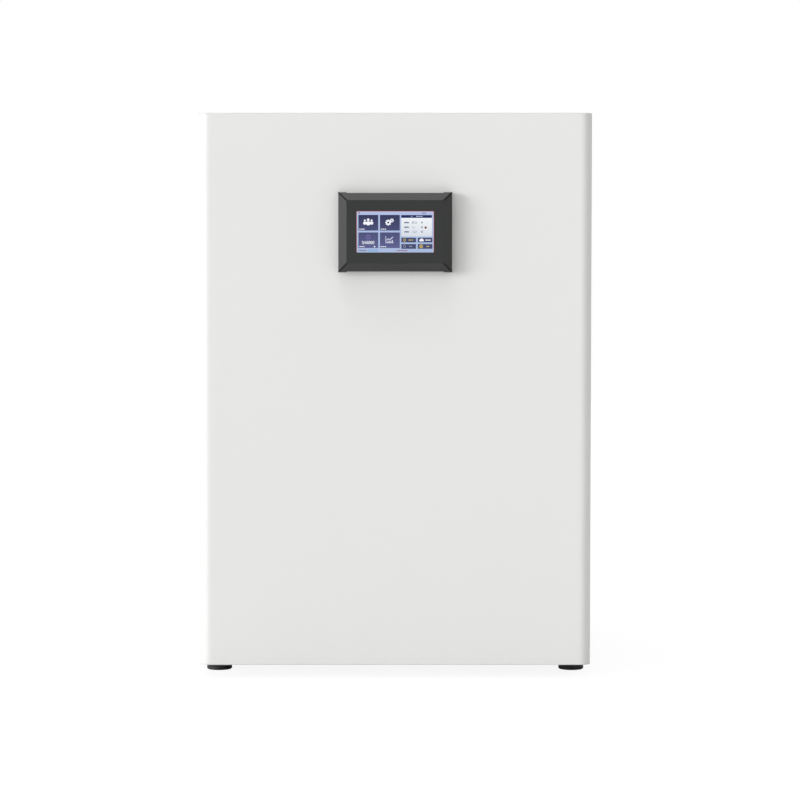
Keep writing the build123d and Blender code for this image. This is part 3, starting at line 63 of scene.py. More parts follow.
# %% Place the camera
camera_distance = 3.5
camera_height = 0.494
camera_pitch = radians(2.82)
camera_lens = 110.6
camera_shift_x = 0.0060
camera_shift_y = 0.0664

door_front_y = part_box("door_skin")[0].y
camera_data = bpy.data.cameras.new("photo_camera")
camera_data.lens = camera_lens
camera_data.sensor_width = 36.0
camera_data.shift_x = camera_shift_x
camera_data.shift_y = camera_shift_y
camera_data.clip_end = 60.0
camera = bpy.data.objects.new("photo_camera", camera_data)
bpy.context.scene.collection.objects.link(camera)
camera.location = (0.0, door_front_y - camera_distance, camera_height)
camera.rotation_euler = (pi / 2 - camera_pitch, 0.0, 0.0)
bpy.context.scene.camera = camera
bpy.context.scene.view_settings.view_transform = "Standard"
print("camera at", [round(v, 3) for v in camera.location], "lens", camera_lens)

# %% [markdown]
# ## Node helpers
# Materials are node graphs. These few helpers make a node, set its inputs by name and link sockets,
# so that the recipes below read as recipes.

# %% Helpers for shader graphs
def add_node(tree, kind, settings=None, **inputs):
    """A new node, with its properties and its unlinked inputs set."""
    node = tree.nodes.new(kind)
    for name, value in (settings or {}).items():
        setattr(node, name, value)
    for name, value in inputs.items():
        node.inputs[name.replace("_", " ")].default_value = value
    return node


def math_node(tree, operation, first, second, clamp=False):
    """A Math node whose two inputs are sockets or plain numbers. Returns its output."""
    node = add_node(tree, "ShaderNodeMath", {"operation": operation, "use_clamp": clamp})
    for socket, value in zip(node.inputs, (first, second)):
        if isinstance(value, (int, float)):
            socket.default_value = value
        else:
            tree.links.new(value, socket)
    return node.outputs[0]


def blend_colours(tree, factor, first, second):
    """A colour between two, by a mask. Each colour is a socket or a tuple."""
    node = add_node(tree, "ShaderNodeMix", {"data_type": "RGBA"})
    tree.links.new(factor, node.inputs[0])
    for socket, value in zip(node.inputs[6:8], (first, second)):
        if isinstance(value, tuple):
            socket.default_value = (*value, 1.0)
        else:
            tree.links.new(value, socket)
    return node.outputs[2]


def noise_value(tree, vector, scale, **settings):
    """The value of a Noise Texture whose scale is a socket or a plain number."""
    noise = add_node(tree, "ShaderNodeTexNoise", **settings)
    tree.links.new(vector, noise.inputs["Vector"])
    if isinstance(scale, float):
        noise.inputs["Scale"].default_value = scale
    else:
        tree.links.new(scale, noise.inputs["Scale"])
    return noise.outputs[0]


def new_group(name, inputs, outputs):
    """An empty shader node group with named sockets. Returns its tree, inner inputs and outputs."""
    group = bpy.data.node_groups.new(name, "ShaderNodeTree")
    for label, value in inputs.items():
        kind = "NodeSocketVector" if isinstance(value, tuple) else "NodeSocketFloat"
        group.interface.new_socket(label, in_out="INPUT", socket_type=kind).default_value = value
    for label in outputs:
        kind = "NodeSocketVector" if label == "Normal" else "NodeSocketFloat"
        group.interface.new_socket(label, in_out="OUTPUT", socket_type=kind)
    entry = group.nodes.new("NodeGroupInput").outputs
    result = group.nodes.new("NodeGroupOutput").inputs
    print("node group", name)
    return group, entry, result


def use_group(tree, name, **inputs):
    """Places a node group in a material with its own values."""
    node = add_node(tree, "ShaderNodeGroup", {"node_tree": bpy.data.node_groups[name]})
    for label, value in inputs.items():
        node.inputs[label.replace("_", " ")].default_value = value
    return node.outputs


def new_material(name, **inputs):
    """A material whose shader has these constants. Returns it, its tree and its shader."""
    made = bpy.data.materials.new(name)
    made.use_nodes = True
    shader = made.node_tree.nodes["Principled BSDF"]
    for label, value in inputs.items():
        shader.inputs[label.replace("_", " ")].default_value = value
    return made, made.node_tree, shader


# %% [markdown]
# ## Grain and patches
# Powder coat, moulded plastic and rubber all have a fine grain and slow patches of tone. Both are
# noise, one small and one wide. They are one node group, because many materials share them.

# %% Grain and patches
def make_grain_group():
    group, entry, result = new_group("surface_grain", {"Size": 0.001, "Patch": 0.09}, ["Height", "Tone"])
    spot = add_node(group, "ShaderNodeTexCoord").outputs["Object"]
    for label, output, detail in (("Size", "Height", 2.0), ("Patch", "Tone", 4.0)):
        scale = math_node(group, "DIVIDE", 1.0, entry[label])
        value = noise_value(group, spot, scale, Detail=detail, Roughness=0.55)
        group.links.new(value, result[output])


make_grain_group()


# %% [markdown]
# ## Handling marks
# Hands leave smudges that change the gloss and not the colour. A noise centred on zero shifts the
# roughness both ways, so a part's average gloss stays what its recipe says.

# %% Handling marks
def make_handling_group():
    group, entry, result = new_group("handling_marks", {"Size": 0.06, "Amount": 0.1}, ["Shift"])
    spot = add_node(group, "ShaderNodeTexCoord").outputs["Object"]
    scale = math_node(group, "DIVIDE", 1.0, entry["Size"])
    value = noise_value(group, spot, scale, Detail=5.0, Roughness=0.62, Distortion=0.6)
    centred = math_node(group, "SUBTRACT", value, 0.5)
    group.links.new(math_node(group, "MULTIPLY", centred, entry["Amount"]), result["Shift"])


make_handling_group()


# %% [markdown]
# ## Edges
# Real edges are slightly rounded and polished by touch. Rounding them in the mesh would cost many
# faces, so the shader rounds the normal, and the same difference marks a band along each edge that
# the recipes colour lighter: wear on most parts, and a painted highlight on the white enamel.

# %% Rounded edges, and a band for wear and painted highlight
def make_edge_group():
    """The Bevel node's normal rounds an edge. Where it leaves the flat normal lies a band that is
    coloured as wear, and on the enamel as a painted highlight.
    """
    group, entry, result = new_group("edge_wear_and_highlight", {"Radius": 0.0006, "Gain": 4.0}, ["Normal", "Wear_and_highlight"])
    rounded = add_node(group, "ShaderNodeBevel", {"samples": 4})
    group.links.new(entry["Radius"], rounded.inputs["Radius"])
    flat = add_node(group, "ShaderNodeNewGeometry").outputs["Normal"]
    facing = add_node(group, "ShaderNodeVectorMath", {"operation": "DOT_PRODUCT"})
    group.links.new(rounded.outputs[0], facing.inputs[0])
    group.links.new(flat, facing.inputs[1])
    turned = math_node(group, "SUBTRACT", 1.0, facing.outputs["Value"])
    spot = add_node(group, "ShaderNodeTexCoord").outputs["Object"]
    breaks = noise_value(group, spot, 220.0, Detail=3.0)
    patchy = math_node(group, "MULTIPLY", turned, breaks)
    group.links.new(math_node(group, "MULTIPLY", patchy, entry["Gain"], clamp=True), result["Wear_and_highlight"])
    group.links.new(rounded.outputs[0], result["Normal"])


make_edge_group()


# %% [markdown]
# ## Brushed lines
# Rolled and brushed steel has long fine scratches. An image could show them, but a stretched noise
# has no seams and works on any part.

# %% Brushed lines
def make_brushed_group():
    """Noise stretched along one axis: a small factor gives long lines that way."""
    stretch = (8.0, 2400.0, 2400.0)
    group, entry, result = new_group("brushed_lines", {"Stretch": stretch}, ["Height", "Tone"])
    spot = add_node(group, "ShaderNodeTexCoord").outputs["Object"]
    stretched = add_node(group, "ShaderNodeVectorMath", {"operation": "MULTIPLY"})
    group.links.new(spot, stretched.inputs[0])
    group.links.new(entry["Stretch"], stretched.inputs[1])
    for output, scale in (("Height", 1.0), ("Tone", 0.12)):
        value = noise_value(group, stretched.outputs[0], scale, Detail=3.0, Roughness=0.6)
        group.links.new(value, result[output])


make_brushed_group()


# %% [markdown]
# ## Dust
# Dust lies on faces that look up. The mask takes the normal's upward part and breaks it with noise.

# %% Settled dust
def make_dust_group():
    """A faint mask on faces that look up."""
    group, entry, result = new_group("settled_dust", {"Amount": 0.2}, ["Mask"])
    up = add_node(group, "ShaderNodeSeparateXYZ")
    group.links.new(add_node(group, "ShaderNodeNewGeometry").outputs["Normal"], up.inputs[0])
    level = math_node(group, "SUBTRACT", up.outputs["Z"], 0.6, clamp=True)
    spot = add_node(group, "ShaderNodeTexCoord").outputs["Object"]
    cloud = noise_value(group, spot, 26.0, Detail=6.0, Roughness=0.7)
    cloudy = math_node(group, "MULTIPLY", level, cloud)
    group.links.new(math_node(group, "MULTIPLY", cloudy, entry["Amount"], clamp=True), result["Mask"])


make_dust_group()

# %% [markdown]
# ## One recipe for painted and moulded surfaces
# Paint, plastic and rubber differ in colour, gloss, grain and wear, but not in how a graph is laid
# out. One function therefore builds them all: tone patches, then a lighter colour on edges (wear,
# and on the white enamel a painted highlight), then dust, with the grain as a bump on top of the
# rounded normal. Brushed metal has lines in place of grain, and ends in the same way.

# %% The recipe
dust_colour = (0.62, 0.60, 0.57)


def shade(colour, factor):
    return tuple(min(1.0, channel * factor) for channel in colour)


def add_gloss_and_relief(tree, shader, roughness, marks, height, relief, normal):
    """Roughness shifted by smudges, and a bump on top of the rounded normal."""
    smudges = use_group(tree, "handling_marks", Amount=marks)
    shifted = math_node(tree, "ADD", smudges["Shift"], roughness, clamp=True)
    tree.links.new(shifted, shader.inputs["Roughness"])
    bump = add_node(tree, "ShaderNodeBump", Distance=relief)
    tree.links.new(height, bump.inputs["Height"])
    tree.links.new(normal, bump.inputs["Normal"])
    tree.links.new(bump.outputs[0], shader.inputs["Normal"])


def coated(name, colour, roughness, grain=0.0009, relief=0.00002, tint=0.03, patch=0.09, marks=0.06,
           wear_and_highlight_colour=None, edge=0.0006, wear_and_highlight_gain=4.0, dust=0.0, metallic=0.0, specular=0.5):
    """A painted, moulded or cast surface."""
    made, tree, shader = new_material(name, Metallic=metallic, Specular_IOR_Level=specular)
    texture = use_group(tree, "surface_grain", Size=grain, Patch=patch)
    edges = use_group(tree, "edge_wear_and_highlight", Radius=edge, Gain=wear_and_highlight_gain)
    tone = blend_colours(tree, texture["Tone"], shade(colour, 1.0 - tint), shade(colour, 1.0 + tint))
    # On the white enamel this lighter edge colour is a painted highlight along the folds; elsewhere it is
    # wear.
    colour_with_wear_and_highlight = blend_colours(tree, edges["Wear_and_highlight"], tone, wear_and_highlight_colour or shade(colour, 1.15))
    if dust:
        settled = use_group(tree, "settled_dust", Amount=dust)
        colour_with_wear_and_highlight = blend_colours(tree, settled["Mask"], colour_with_wear_and_highlight, dust_colour)
    tree.links.new(colour_with_wear_and_highlight, shader.inputs["Base Color"])
    add_gloss_and_relief(tree, shader, roughness, marks, texture["Height"], relief, edges["Normal"])
    return made


def brushed(name, colour, roughness, stretch, relief=0.000012, tint=0.08, marks=0.14, edge=0.0004,
            wear_and_highlight_gain=2.0):
    """Brushed or rolled sheet metal, with lines along one axis."""
    made, tree, shader = new_material(name, Metallic=1.0)
    lines = use_group(tree, "brushed_lines", Stretch=stretch)
    edges = use_group(tree, "edge_wear_and_highlight", Radius=edge, Gain=wear_and_highlight_gain)
    tone = blend_colours(tree, lines["Tone"], shade(colour, 1.0 - tint), shade(colour, 1.0 + tint))
    colour_with_wear_and_highlight = blend_colours(tree, edges["Wear_and_highlight"], tone, shade(colour, 1.25))
    tree.links.new(colour_with_wear_and_highlight, shader.inputs["Base Color"])
    add_gloss_and_relief(tree, shader, roughness, marks, lines["Height"], relief, edges["Normal"])
    return made


def dress(made, *names):
    """Gives CAD nodes this material, in their own slots."""
    for name in names:
        for place in nodes[name].material_slots:
            place.material = made


print("recipes ready")

# %% [markdown]
# ## White powder coat
# The cabinet and the door skin are sheet steel with a satin white powder coat. It has a very fine
# orange peel, is a touch warm, and shows almost no wear: it is a clean instrument. Its lighter colour
# in a band of a few millimetres along each edge is a painted highlight on the rounded folds. The rear
# panel and front frame have the same coat a little greyer.

# %% Cabinet and door skin
enamel_white = (0.832, 0.832, 0.818)
enamel = coated("white_enamel", enamel_white, 0.42, grain=0.0011, relief=0.000012, tint=0.006,
                patch=0.16, marks=0.05, wear_and_highlight_colour=(0.90, 0.90, 0.89), edge=0.003, wear_and_highlight_gain=1.6,
                dust=0.06)
frame_coat = coated("frame_enamel", (0.80, 0.80, 0.79), 0.38, grain=0.0011, relief=0.000014, tint=0.008,
                    wear_and_highlight_colour=(0.86, 0.86, 0.85), edge=0.0007, wear_and_highlight_gain=1.5)
dress(enamel, "cabinet_wrap", "door_skin", "rear_panel")
dress(frame_coat, "front_frame")
print("powder coat on cabinet_wrap, door_skin, rear_panel, front_frame")

# %% [markdown]
# ## Sheet metal inside
# The chamber, shelves, runners, water pan and fan parts are stainless steel. Drawn and folded parts
# keep the mill's grain, so the lines run across the chamber on its liner and from side to side on
# shelves. Galvanised steel under the cabinet has a coarser, duller spangle.

# %% Stainless and galvanised parts
steel_grey = (0.66, 0.655, 0.64)
liner_steel = brushed("liner_stainless", steel_grey, 0.30, (6.0, 6.0, 2200.0))
shelf_steel = brushed("shelf_stainless", (0.69, 0.685, 0.67), 0.27, (7.0, 2400.0, 2400.0))
rack_steel = brushed("rack_stainless", (0.64, 0.64, 0.63), 0.33, (2200.0, 2200.0, 9.0))
zinc_sheet = coated("galvanised_sheet", (0.52, 0.53, 0.54), 0.42, grain=0.006, relief=0.00003, tint=0.16,
                    patch=0.012, marks=0.2, wear_and_highlight_colour=(0.7, 0.71, 0.72), metallic=1.0)
plated = coated("zinc_plated", (0.68, 0.69, 0.68), 0.28, grain=0.0007, relief=0.00001, tint=0.05,
                marks=0.12, wear_and_highlight_colour=(0.8, 0.8, 0.79), edge=0.0003, metallic=1.0)
dress(liner_steel, "chamber_liner", "water_pan", "fan_cover")
dress(shelf_steel, "shelf_lower", "shelf_middle", "shelf_upper", "fan_wheel", "inner_door_leaves")
dress(rack_steel, "rack_uprights", "shelf_runners", "inner_hinge_blocks", "inner_latch_post")
dress(rack_steel, "inner_latch", "gas_nozzle", "temperature_probe")
dress(zinc_sheet, "base_pan", "equipment_tray", "fan_motor_plate", "power_supply")
dress(plated, "foot_screws", "door_hinge_upper", "door_hinge_lower", "door_hinge_blocks", "fan_shaft")
print("metals on the chamber, rack, shelves, fan, hinges and base")

# %% [markdown]
# ## Plastics and rubbers
# The display housing is a dark grey moulding with a fine spark-eroded texture, which scatters light
# so that its faces read as soft greys. The door's inner panel is a pale moulding. Feet and seals are
# rubber, the stopper is milky silicone.

# %% Mouldings and rubbers
bezel_plastic = coated("bezel_plastic", (0.014, 0.015, 0.015), 0.42, grain=0.0006, relief=0.00004,
                       tint=0.08, marks=0.08, wear_and_highlight_colour=(0.06, 0.06, 0.058), edge=0.0004,
                       wear_and_highlight_gain=2.0, specular=0.68)
# The next black is painted shade, for the strips in the display frame's mitre grooves.
groove_shade_black = coated("painted_groove_shade", (0.006, 0.006, 0.006), 0.7, grain=0.0005, relief=0.00003, tint=0.2,
                     wear_and_highlight_colour=(0.01, 0.01, 0.01), edge=0.0001, specular=0.2)
panel_plastic = coated("panel_plastic", (0.79, 0.79, 0.77), 0.5, grain=0.0008, relief=0.00004, tint=0.012,
                       wear_and_highlight_colour=(0.86, 0.86, 0.84), edge=0.001)
grip_plastic = coated("grip_plastic", (0.055, 0.056, 0.06), 0.5, grain=0.0007, relief=0.00006, tint=0.08,
                      wear_and_highlight_colour=(0.14, 0.14, 0.14))
foot_rubber = coated("foot_rubber", (0.027, 0.027, 0.027), 0.55, grain=0.0012, relief=0.00006, tint=0.15,
                     wear_and_highlight_colour=(0.07, 0.07, 0.068), edge=0.0008, dust=0.5)
seal_rubber = coated("seal_rubber", (0.50, 0.51, 0.51), 0.6, grain=0.0006, relief=0.00003, tint=0.04,
                     wear_and_highlight_colour=(0.56, 0.56, 0.56))
gloss_black = coated("inlet_plastic", (0.020, 0.020, 0.021), 0.3, grain=0.0006, tint=0.1,
                     wear_and_highlight_colour=(0.06, 0.06, 0.06), edge=0.0004)
bush_plastic = coated("bush_plastic", (0.82, 0.81, 0.77), 0.4, grain=0.0008, tint=0.02)
filter_plastic = coated("filter_plastic", (0.78, 0.82, 0.86), 0.25, grain=0.0015)
tube_soft = coated("tube_silicone", (0.80, 0.81, 0.80), 0.35, grain=0.0015)
motor_paint = coated("motor_paint", (0.07, 0.07, 0.075), 0.5, grain=0.0014, relief=0.00008, tint=0.12,
                     wear_and_highlight_colour=(0.35, 0.35, 0.35))
brass = coated("machined_brass", (0.74, 0.55, 0.26), 0.27, grain=0.0005, relief=0.00001, tint=0.06,
               wear_and_highlight_colour=(0.85, 0.68, 0.38), edge=0.0003, metallic=1.0)
sensor_metal = coated("sensor_metal", (0.6, 0.6, 0.6), 0.36, grain=0.0008, tint=0.05,
                      wear_and_highlight_colour=(0.75, 0.75, 0.75), metallic=1.0)
board_green = coated("circuit_board", (0.02, 0.15, 0.06), 0.28, grain=0.004, relief=0.00005, tint=0.3,
                     patch=0.01, wear_and_highlight_colour=(0.5, 0.4, 0.16))
rigid_foam = coated("rigid_foam", (0.84, 0.78, 0.56), 0.85, grain=0.0025, relief=0.0004, tint=0.05)
heater_mat = coated("heater_mat", (0.62, 0.24, 0.08), 0.6, grain=0.0016, relief=0.00012, tint=0.08)
dress(bezel_plastic, "display_bezel")
dress(panel_plastic, "door_panel")
dress(grip_plastic, "door_grip", "inner_door_knob")
dress(gloss_black, "power_inlet", "mains_rocker", "fuse_drawer", "access_sleeve")
dress(bush_plastic, "door_hinge_bushes")
dress(filter_plastic, "gas_filter")
dress(tube_soft, "gas_tubes")
dress(motor_paint, "fan_motor")
dress(brass, "gas_inlet", "gas_valve")
dress(sensor_metal, "co2_sensor", "display_module")
dress(board_green, "control_board", "display_board")
dress(rigid_foam, "cabinet_insulation", "door_insulation")
dress(heater_mat, "jacket_heaters", "door_heater")
print("plastics, rubbers and hidden parts dressed")


# %% [markdown]
# ## Silicone and glass
# Silicone lets light in a little way, so it gets some subsurface scattering. The inner door is clear
# tempered glass: full transmission, a very low roughness that faint smudges raise, and no bump,
# because float glass is flat.

# %% Silicone and door glass
def make_silicone():
    made = coated("milky_silicone", (0.78, 0.77, 0.72), 0.45, grain=0.0012, relief=0.00003, tint=0.02)
    shader = made.node_tree.nodes["Principled BSDF"]
    shader.inputs["Subsurface Weight"].default_value = 0.25
    shader.inputs["Subsurface Radius"].default_value = (0.004, 0.0035, 0.003)
    return made


def make_door_glass():
    made, tree, shader = new_material("door_glass", Transmission_Weight=1.0, IOR=1.5)
    texture = use_group(tree, "surface_grain", Size=0.03, Patch=0.2)
    clear = blend_colours(tree, texture["Tone"], (0.93, 0.985, 0.965), (0.97, 1.0, 0.99))
    tree.links.new(clear, shader.inputs["Base Color"])
    smudges = use_group(tree, "handling_marks", Size=0.08, Amount=0.08)
    shifted = math_node(tree, "ADD", smudges["Shift"], 0.03, clamp=True)
    tree.links.new(shifted, shader.inputs["Roughness"])
    return made


silicone = make_silicone()
door_glass = make_door_glass()
dress(silicone, "access_plug")
dress(door_glass, "inner_door_glass")
print("silicone and glass ready")

# %% [markdown]
# ## Making a piece
# New pieces are modelled in millimetres, which suits an object whose parts are a few millimetres
# thick, and are turned into metres in one place. Every piece rides on a CAD body and takes one of
# the materials above.

# %% Helpers for pieces
metres_per_mm = 0.001


def box_mm(name):
    """The lowest and highest corner of a CAD node, in millimetres."""
    low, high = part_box(name)
    return low / metres_per_mm, high / metres_per_mm


def make_piece(name, bm, made, body, instead_of=(), sharp=35.0):
    """Turns a bmesh in millimetres into a shown piece in metres."""
    bmesh.ops.recalc_face_normals(bm, faces=bm.faces)
    bmesh.ops.scale(bm, vec=(metres_per_mm,) * 3, verts=bm.verts)
    mesh = bpy.data.meshes.new(name)
    bm.to_mesh(mesh)
    bm.free()
    mesh.materials.append(made)
    mesh.polygons.foreach_set("use_smooth", [True] * len(mesh.polygons))
    mesh.set_sharp_from_angle(angle=radians(sharp))
    piece = bpy.data.objects.new(name, mesh)
    bpy.context.scene.collection.objects.link(piece)
    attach(piece, body)
    if instead_of:
        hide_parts(*instead_of)
    print("piece", name, len(mesh.polygons), "faces")
    return piece


def add_block(bm, x0, x1, y0, y1, z0, z1, corner=0.0, segments=3):
    """A block between two limits on each axis, with its front-to-back edges rounded.
    Returns its corners, which a caller can turn and move as long as none is rounded."""
    size = Vector((x1 - x0, y1 - y0, z1 - z0))
    middle = Vector((x0 + x1, y0 + y1, z0 + z1)) / 2
    matrix = Matrix.Translation(middle) @ Matrix.Diagonal((*size, 1.0))
    made = bmesh.ops.create_cube(bm, size=1.0, matrix=matrix)
    if corner:
        edges = {edge for vert in made["verts"] for edge in vert.link_edges}
        deep = [edge for edge in edges if abs(edge.verts[0].co.y - edge.verts[1].co.y) > 0.5 * size.y]
        bmesh.ops.bevel(bm, geom=deep, offset=corner, segments=segments, profile=0.5, affect="EDGES",
                        material=-1)
    return made["verts"]


def add_turned(bm, profile, centre, axis="Z", segments=48):
    """A turned form: a closed outline of (radius, place along the axis) spun all the way round."""
    along = Vector((0, 0, 1)) if axis == "Z" else Vector((0, 1, 0))
    middle = Vector(centre)
    verts = [bm.verts.new(middle + Vector((radius, 0, 0)) + along * place) for radius, place in profile]
    edges = [bm.edges.new((verts[i], verts[(i + 1) % len(verts)])) for i in range(len(verts))]
    bmesh.ops.spin(bm, geom=verts + edges, cent=middle, axis=along, angle=2 * pi, steps=segments,
                   use_merge=True)
    bmesh.ops.remove_doubles(bm, verts=bm.verts, dist=0.0005)


def extrude_loop(bm, edges):
    """Extrudes a loop of edges in place. Returns its new corners and its new edges."""
    made = bmesh.ops.extrude_edge_only(bm, edges=edges)["geom"]
    corners = [item for item in made if isinstance(item, bmesh.types.BMVert)]
    fresh = [item for item in made if isinstance(item, bmesh.types.BMEdge)]
    return corners, [edge for edge in fresh if set(edge.verts) <= set(corners)]


print("piece helpers ready")

# %% [markdown]
# ## Rubber feet
# Each foot is a moulded collar over a slightly smaller pad, with a narrow lighter ring where the two
# meet and a rounded lower rim. Turning an outline gives exactly that, and lets every edge have its
# small radius.

# %% Turn the four feet
def make_foot(name):
    low, high = box_mm(name)
    centre = ((low.x + high.x) / 2, (low.y + high.y) / 2, 0.0)
    radius = (high.x - low.x) / 2
    height = high.z
    pad = radius - 0.1
    outline = [
        (3.1, height - 0.1), (radius - 0.8, height - 0.1), (radius - 0.2, height - 0.5),
        (radius, height - 1.2), (radius, 5.6), (radius - 0.2, 5.2), (radius - 0.9, 4.9),
        (radius - 0.9, 4.5), (pad - 0.2, 4.2), (pad, 3.9), (pad, 2.2), (pad - 0.4, 1.2),
        (pad - 1.3, 0.4), (pad - 2.4, 0.05), (pad - 3.0, 0.0), (7.5, 0.0), (6.8, 0.5), (6.6, 8.0),
        (3.1, 8.0),
    ]
    bm = bmesh.new()
    add_turned(bm, outline, centre, segments=64)
    return make_piece(f"{name}_moulded", bm, foot_rubber, "cabinet", [name], sharp=50.0)


for foot in ("foot_front_left", "foot_rear_left", "foot_front_right", "foot_rear_right"):
    make_foot(foot)


# %% [markdown]
# ## Painted shade in the display frame's mitres
# The frame is four bevelled mouldings that meet in mitres, and each mitre shows as a dark line. The
# CAD housing has the grooves. A thin black strip lies in each of them, from the front plane's corner
# out to the edge: it is painted shade, which keeps each groove dark however the light falls.

# %% Lay strips of painted shade in the four mitre grooves
def add_shade_strip(bm, inner, outer, width):
    """A thin strip between two places, its flat side turned along the mitre."""
    run = outer - inner
    strip = add_block(bm, 0, run.length, -0.25, 0.25, -width / 2, width / 2)
    across = Vector((0, 1, 0)).cross(run).normalized()
    lift = run.normalized().cross(across)
    turn = Matrix((run.normalized(), -lift, across)).transposed()
    bmesh.ops.rotate(bm, verts=strip, cent=(0, 0, 0), matrix=turn)
    bmesh.ops.translate(bm, verts=strip, vec=inner)


housing_low, housing_high = box_mm("display_bezel")
bevel_run = 11.7
shade_strip_width = 1.35
shade_strip_depth = 0.35
mid_z = (housing_low.z + housing_high.z) / 2
half_height = (housing_high.z - housing_low.z) / 2
half_width = housing_high.x
bm = bmesh.new()
for side in (-1, 1):
    for end in (-1, 1):
        inner = Vector((side * (half_width - bevel_run), housing_low.y + shade_strip_depth,
                        mid_z + end * (half_height - bevel_run)))
        outer = Vector((side * half_width, housing_low.y + shade_strip_depth + bevel_run,
                        mid_z + end * half_height))
        add_shade_strip(bm, inner, outer, shade_strip_width)
make_piece("bezel_groove_shade_strips", bm, groove_shade_black, "outer_door")


# %% [markdown]
# ## Soft seals
# The door's seal is an extruded bellows: a base that clips in the panel, a narrow waist and a bulb
# with a magnet in it. Its outline is carried round one quarter of the door, with a spin at the corner,
# and then mirrored twice, so the corners are smooth and all four match.

# %% A profile round a rounded rectangle
def ring_round(outline, half_width, half_height, corner, centre, steps=10):
    """Carries an outline of (outward, depth) pairs round a rounded rectangle that faces the front."""
    bm = bmesh.new()
    verts = [bm.verts.new((0.0, depth, half_height + outward)) for outward, depth in outline]
    loop = [bm.edges.new((verts[i], verts[(i + 1) % len(verts)])) for i in range(len(verts))]

    def run_on(edges, step):
        corners, ahead = extrude_loop(bm, edges)
        bmesh.ops.translate(bm, verts=corners, vec=step)
        return ahead

    loop = run_on(loop, (half_width - corner, 0, 0))
    ends = list({vert for edge in loop for vert in edge.verts})
    turned = bmesh.ops.spin(bm, geom=loop + ends, cent=(half_width - corner, 0, half_height - corner),
                            axis=(0, 1, 0), angle=pi / 2, steps=steps)
    loop = [item for item in turned["geom_last"] if isinstance(item, bmesh.types.BMEdge)]
    run_on(loop, (0, 0, corner - half_height))
    for axis in ("X", "Z"):
        everything = bm.verts[:] + bm.edges[:] + bm.faces[:]
        bmesh.ops.mirror(bm, geom=everything, matrix=Matrix.Identity(4), merge_dist=0.01, axis=axis)
    bmesh.ops.remove_doubles(bm, verts=bm.verts, dist=0.01)
    bmesh.ops.translate(bm, verts=bm.verts, vec=centre)
    return bm


gasket_low, gasket_high = box_mm("door_gasket")
gasket_half = (gasket_high - gasket_low) / 2
gasket_corner = 12.5
gasket_middle = ((gasket_low.x + gasket_high.x) / 2, 0.0, (gasket_low.z + gasket_high.z) / 2)
base = gasket_low.y
crown = gasket_high.y
bellows = [
    (-0.7, base), (-0.2, base + 0.7), (-0.4, base + 1.5), (-2.1, base + 2.3), (-2.3, base + 3.1),
    (-0.9, base + 4.0), (-0.2, base + 4.9), (0.0, base + 6.4), (-0.3, base + 8.0), (-1.1, crown - 0.5),
    (-2.4, crown), (-9.6, crown), (-10.9, crown - 0.5), (-11.7, base + 8.0), (-12.0, base + 6.4),
    (-11.8, base + 4.9), (-11.1, base + 4.0), (-9.7, base + 3.1), (-9.9, base + 2.3), (-11.6, base + 1.5),
    (-11.8, base + 0.7), (-11.3, base),
]
seal = ring_round(bellows, gasket_half.x, gasket_half.z, gasket_corner, gasket_middle)
make_piece("door_bellows_seal", seal, seal_rubber, "outer_door", ["door_gasket"],
           sharp=60.0)

# %% [markdown]
# ## The seal on the glass
# The glass door closes on a silicone seal with two soft lips, which keep the gas in while the outer
# door is open. It needs only another outline, carried round in the same way.

# %% Two lips round the glass
lip_low, lip_high = box_mm("inner_door_gasket")
lip_half = (lip_high - lip_low) / 2
lip_corner = 24.0
lip_middle = (0.0, 0.0, (lip_low.z + lip_high.z) / 2)
flat = lip_low.y
tip = lip_high.y
two_lips = [
    (-0.4, flat), (-0.2, flat + 1.6), (0.0, tip - 1.0), (-0.7, tip - 0.1), (-1.6, tip), (-2.5, tip - 0.9),
    (-3.4, flat + 2.0), (-4.6, flat + 1.5), (-6.4, flat + 1.5), (-7.6, flat + 2.0), (-8.5, tip - 0.9),
    (-9.4, tip), (-10.3, tip - 0.1), (-11.0, tip - 1.0), (-10.8, flat + 1.6), (-10.6, flat),
]
seal = ring_round(two_lips, lip_half.x, lip_half.z, lip_corner, lip_middle)
make_piece("glass_lip_seal", seal, silicone, "inner_door", ["inner_door_gasket"],
           sharp=60.0)

# %% [markdown]
# ## The lit screen
# The touch screen is a pale blue desktop behind cover glass: four dark tiles with white signs, a
# column of readings and four small buttons. Each colour is one lit material, which gives off its own
# light through a fine grid of pixels and is as glossy as the cover glass. A picture of a screen
# would be quicker, but would blur in a close view.

# %% Lit materials
pane_low, pane_high = box_mm("display_glass")
window_width = 109.0
window_height = 58.0
window_left = -window_width / 2
window_top = (pane_low.z + pane_high.z) / 2 + window_height / 2
pixel_pitch = 0.00023


def make_pixel_group():
    """Fine upright and level lines between the pixels, and a slow change of backlight."""
    group, entry, result = new_group("pixel_grid", {"Pitch": pixel_pitch}, ["Level"])
    spot = add_node(group, "ShaderNodeTexCoord").outputs["Object"]
    split = add_node(group, "ShaderNodeSeparateXYZ")
    group.links.new(spot, split.inputs[0])
    waves = []
    for axis in ("X", "Z"):
        phase = math_node(group, "DIVIDE", split.outputs[axis], entry["Pitch"])
        wave = math_node(group, "SINE", math_node(group, "MULTIPLY", phase, 2 * pi), 0.0)
        waves.append(math_node(group, "MULTIPLY", wave, 0.04))
    glow = noise_value(group, spot, 18.0, Detail=1.0)
    uneven = math_node(group, "MULTIPLY", glow, 0.12)
    level = math_node(group, "ADD", math_node(group, "ADD", waves[0], waves[1]), uneven)
    group.links.new(math_node(group, "ADD", level, 0.94), result["Level"])


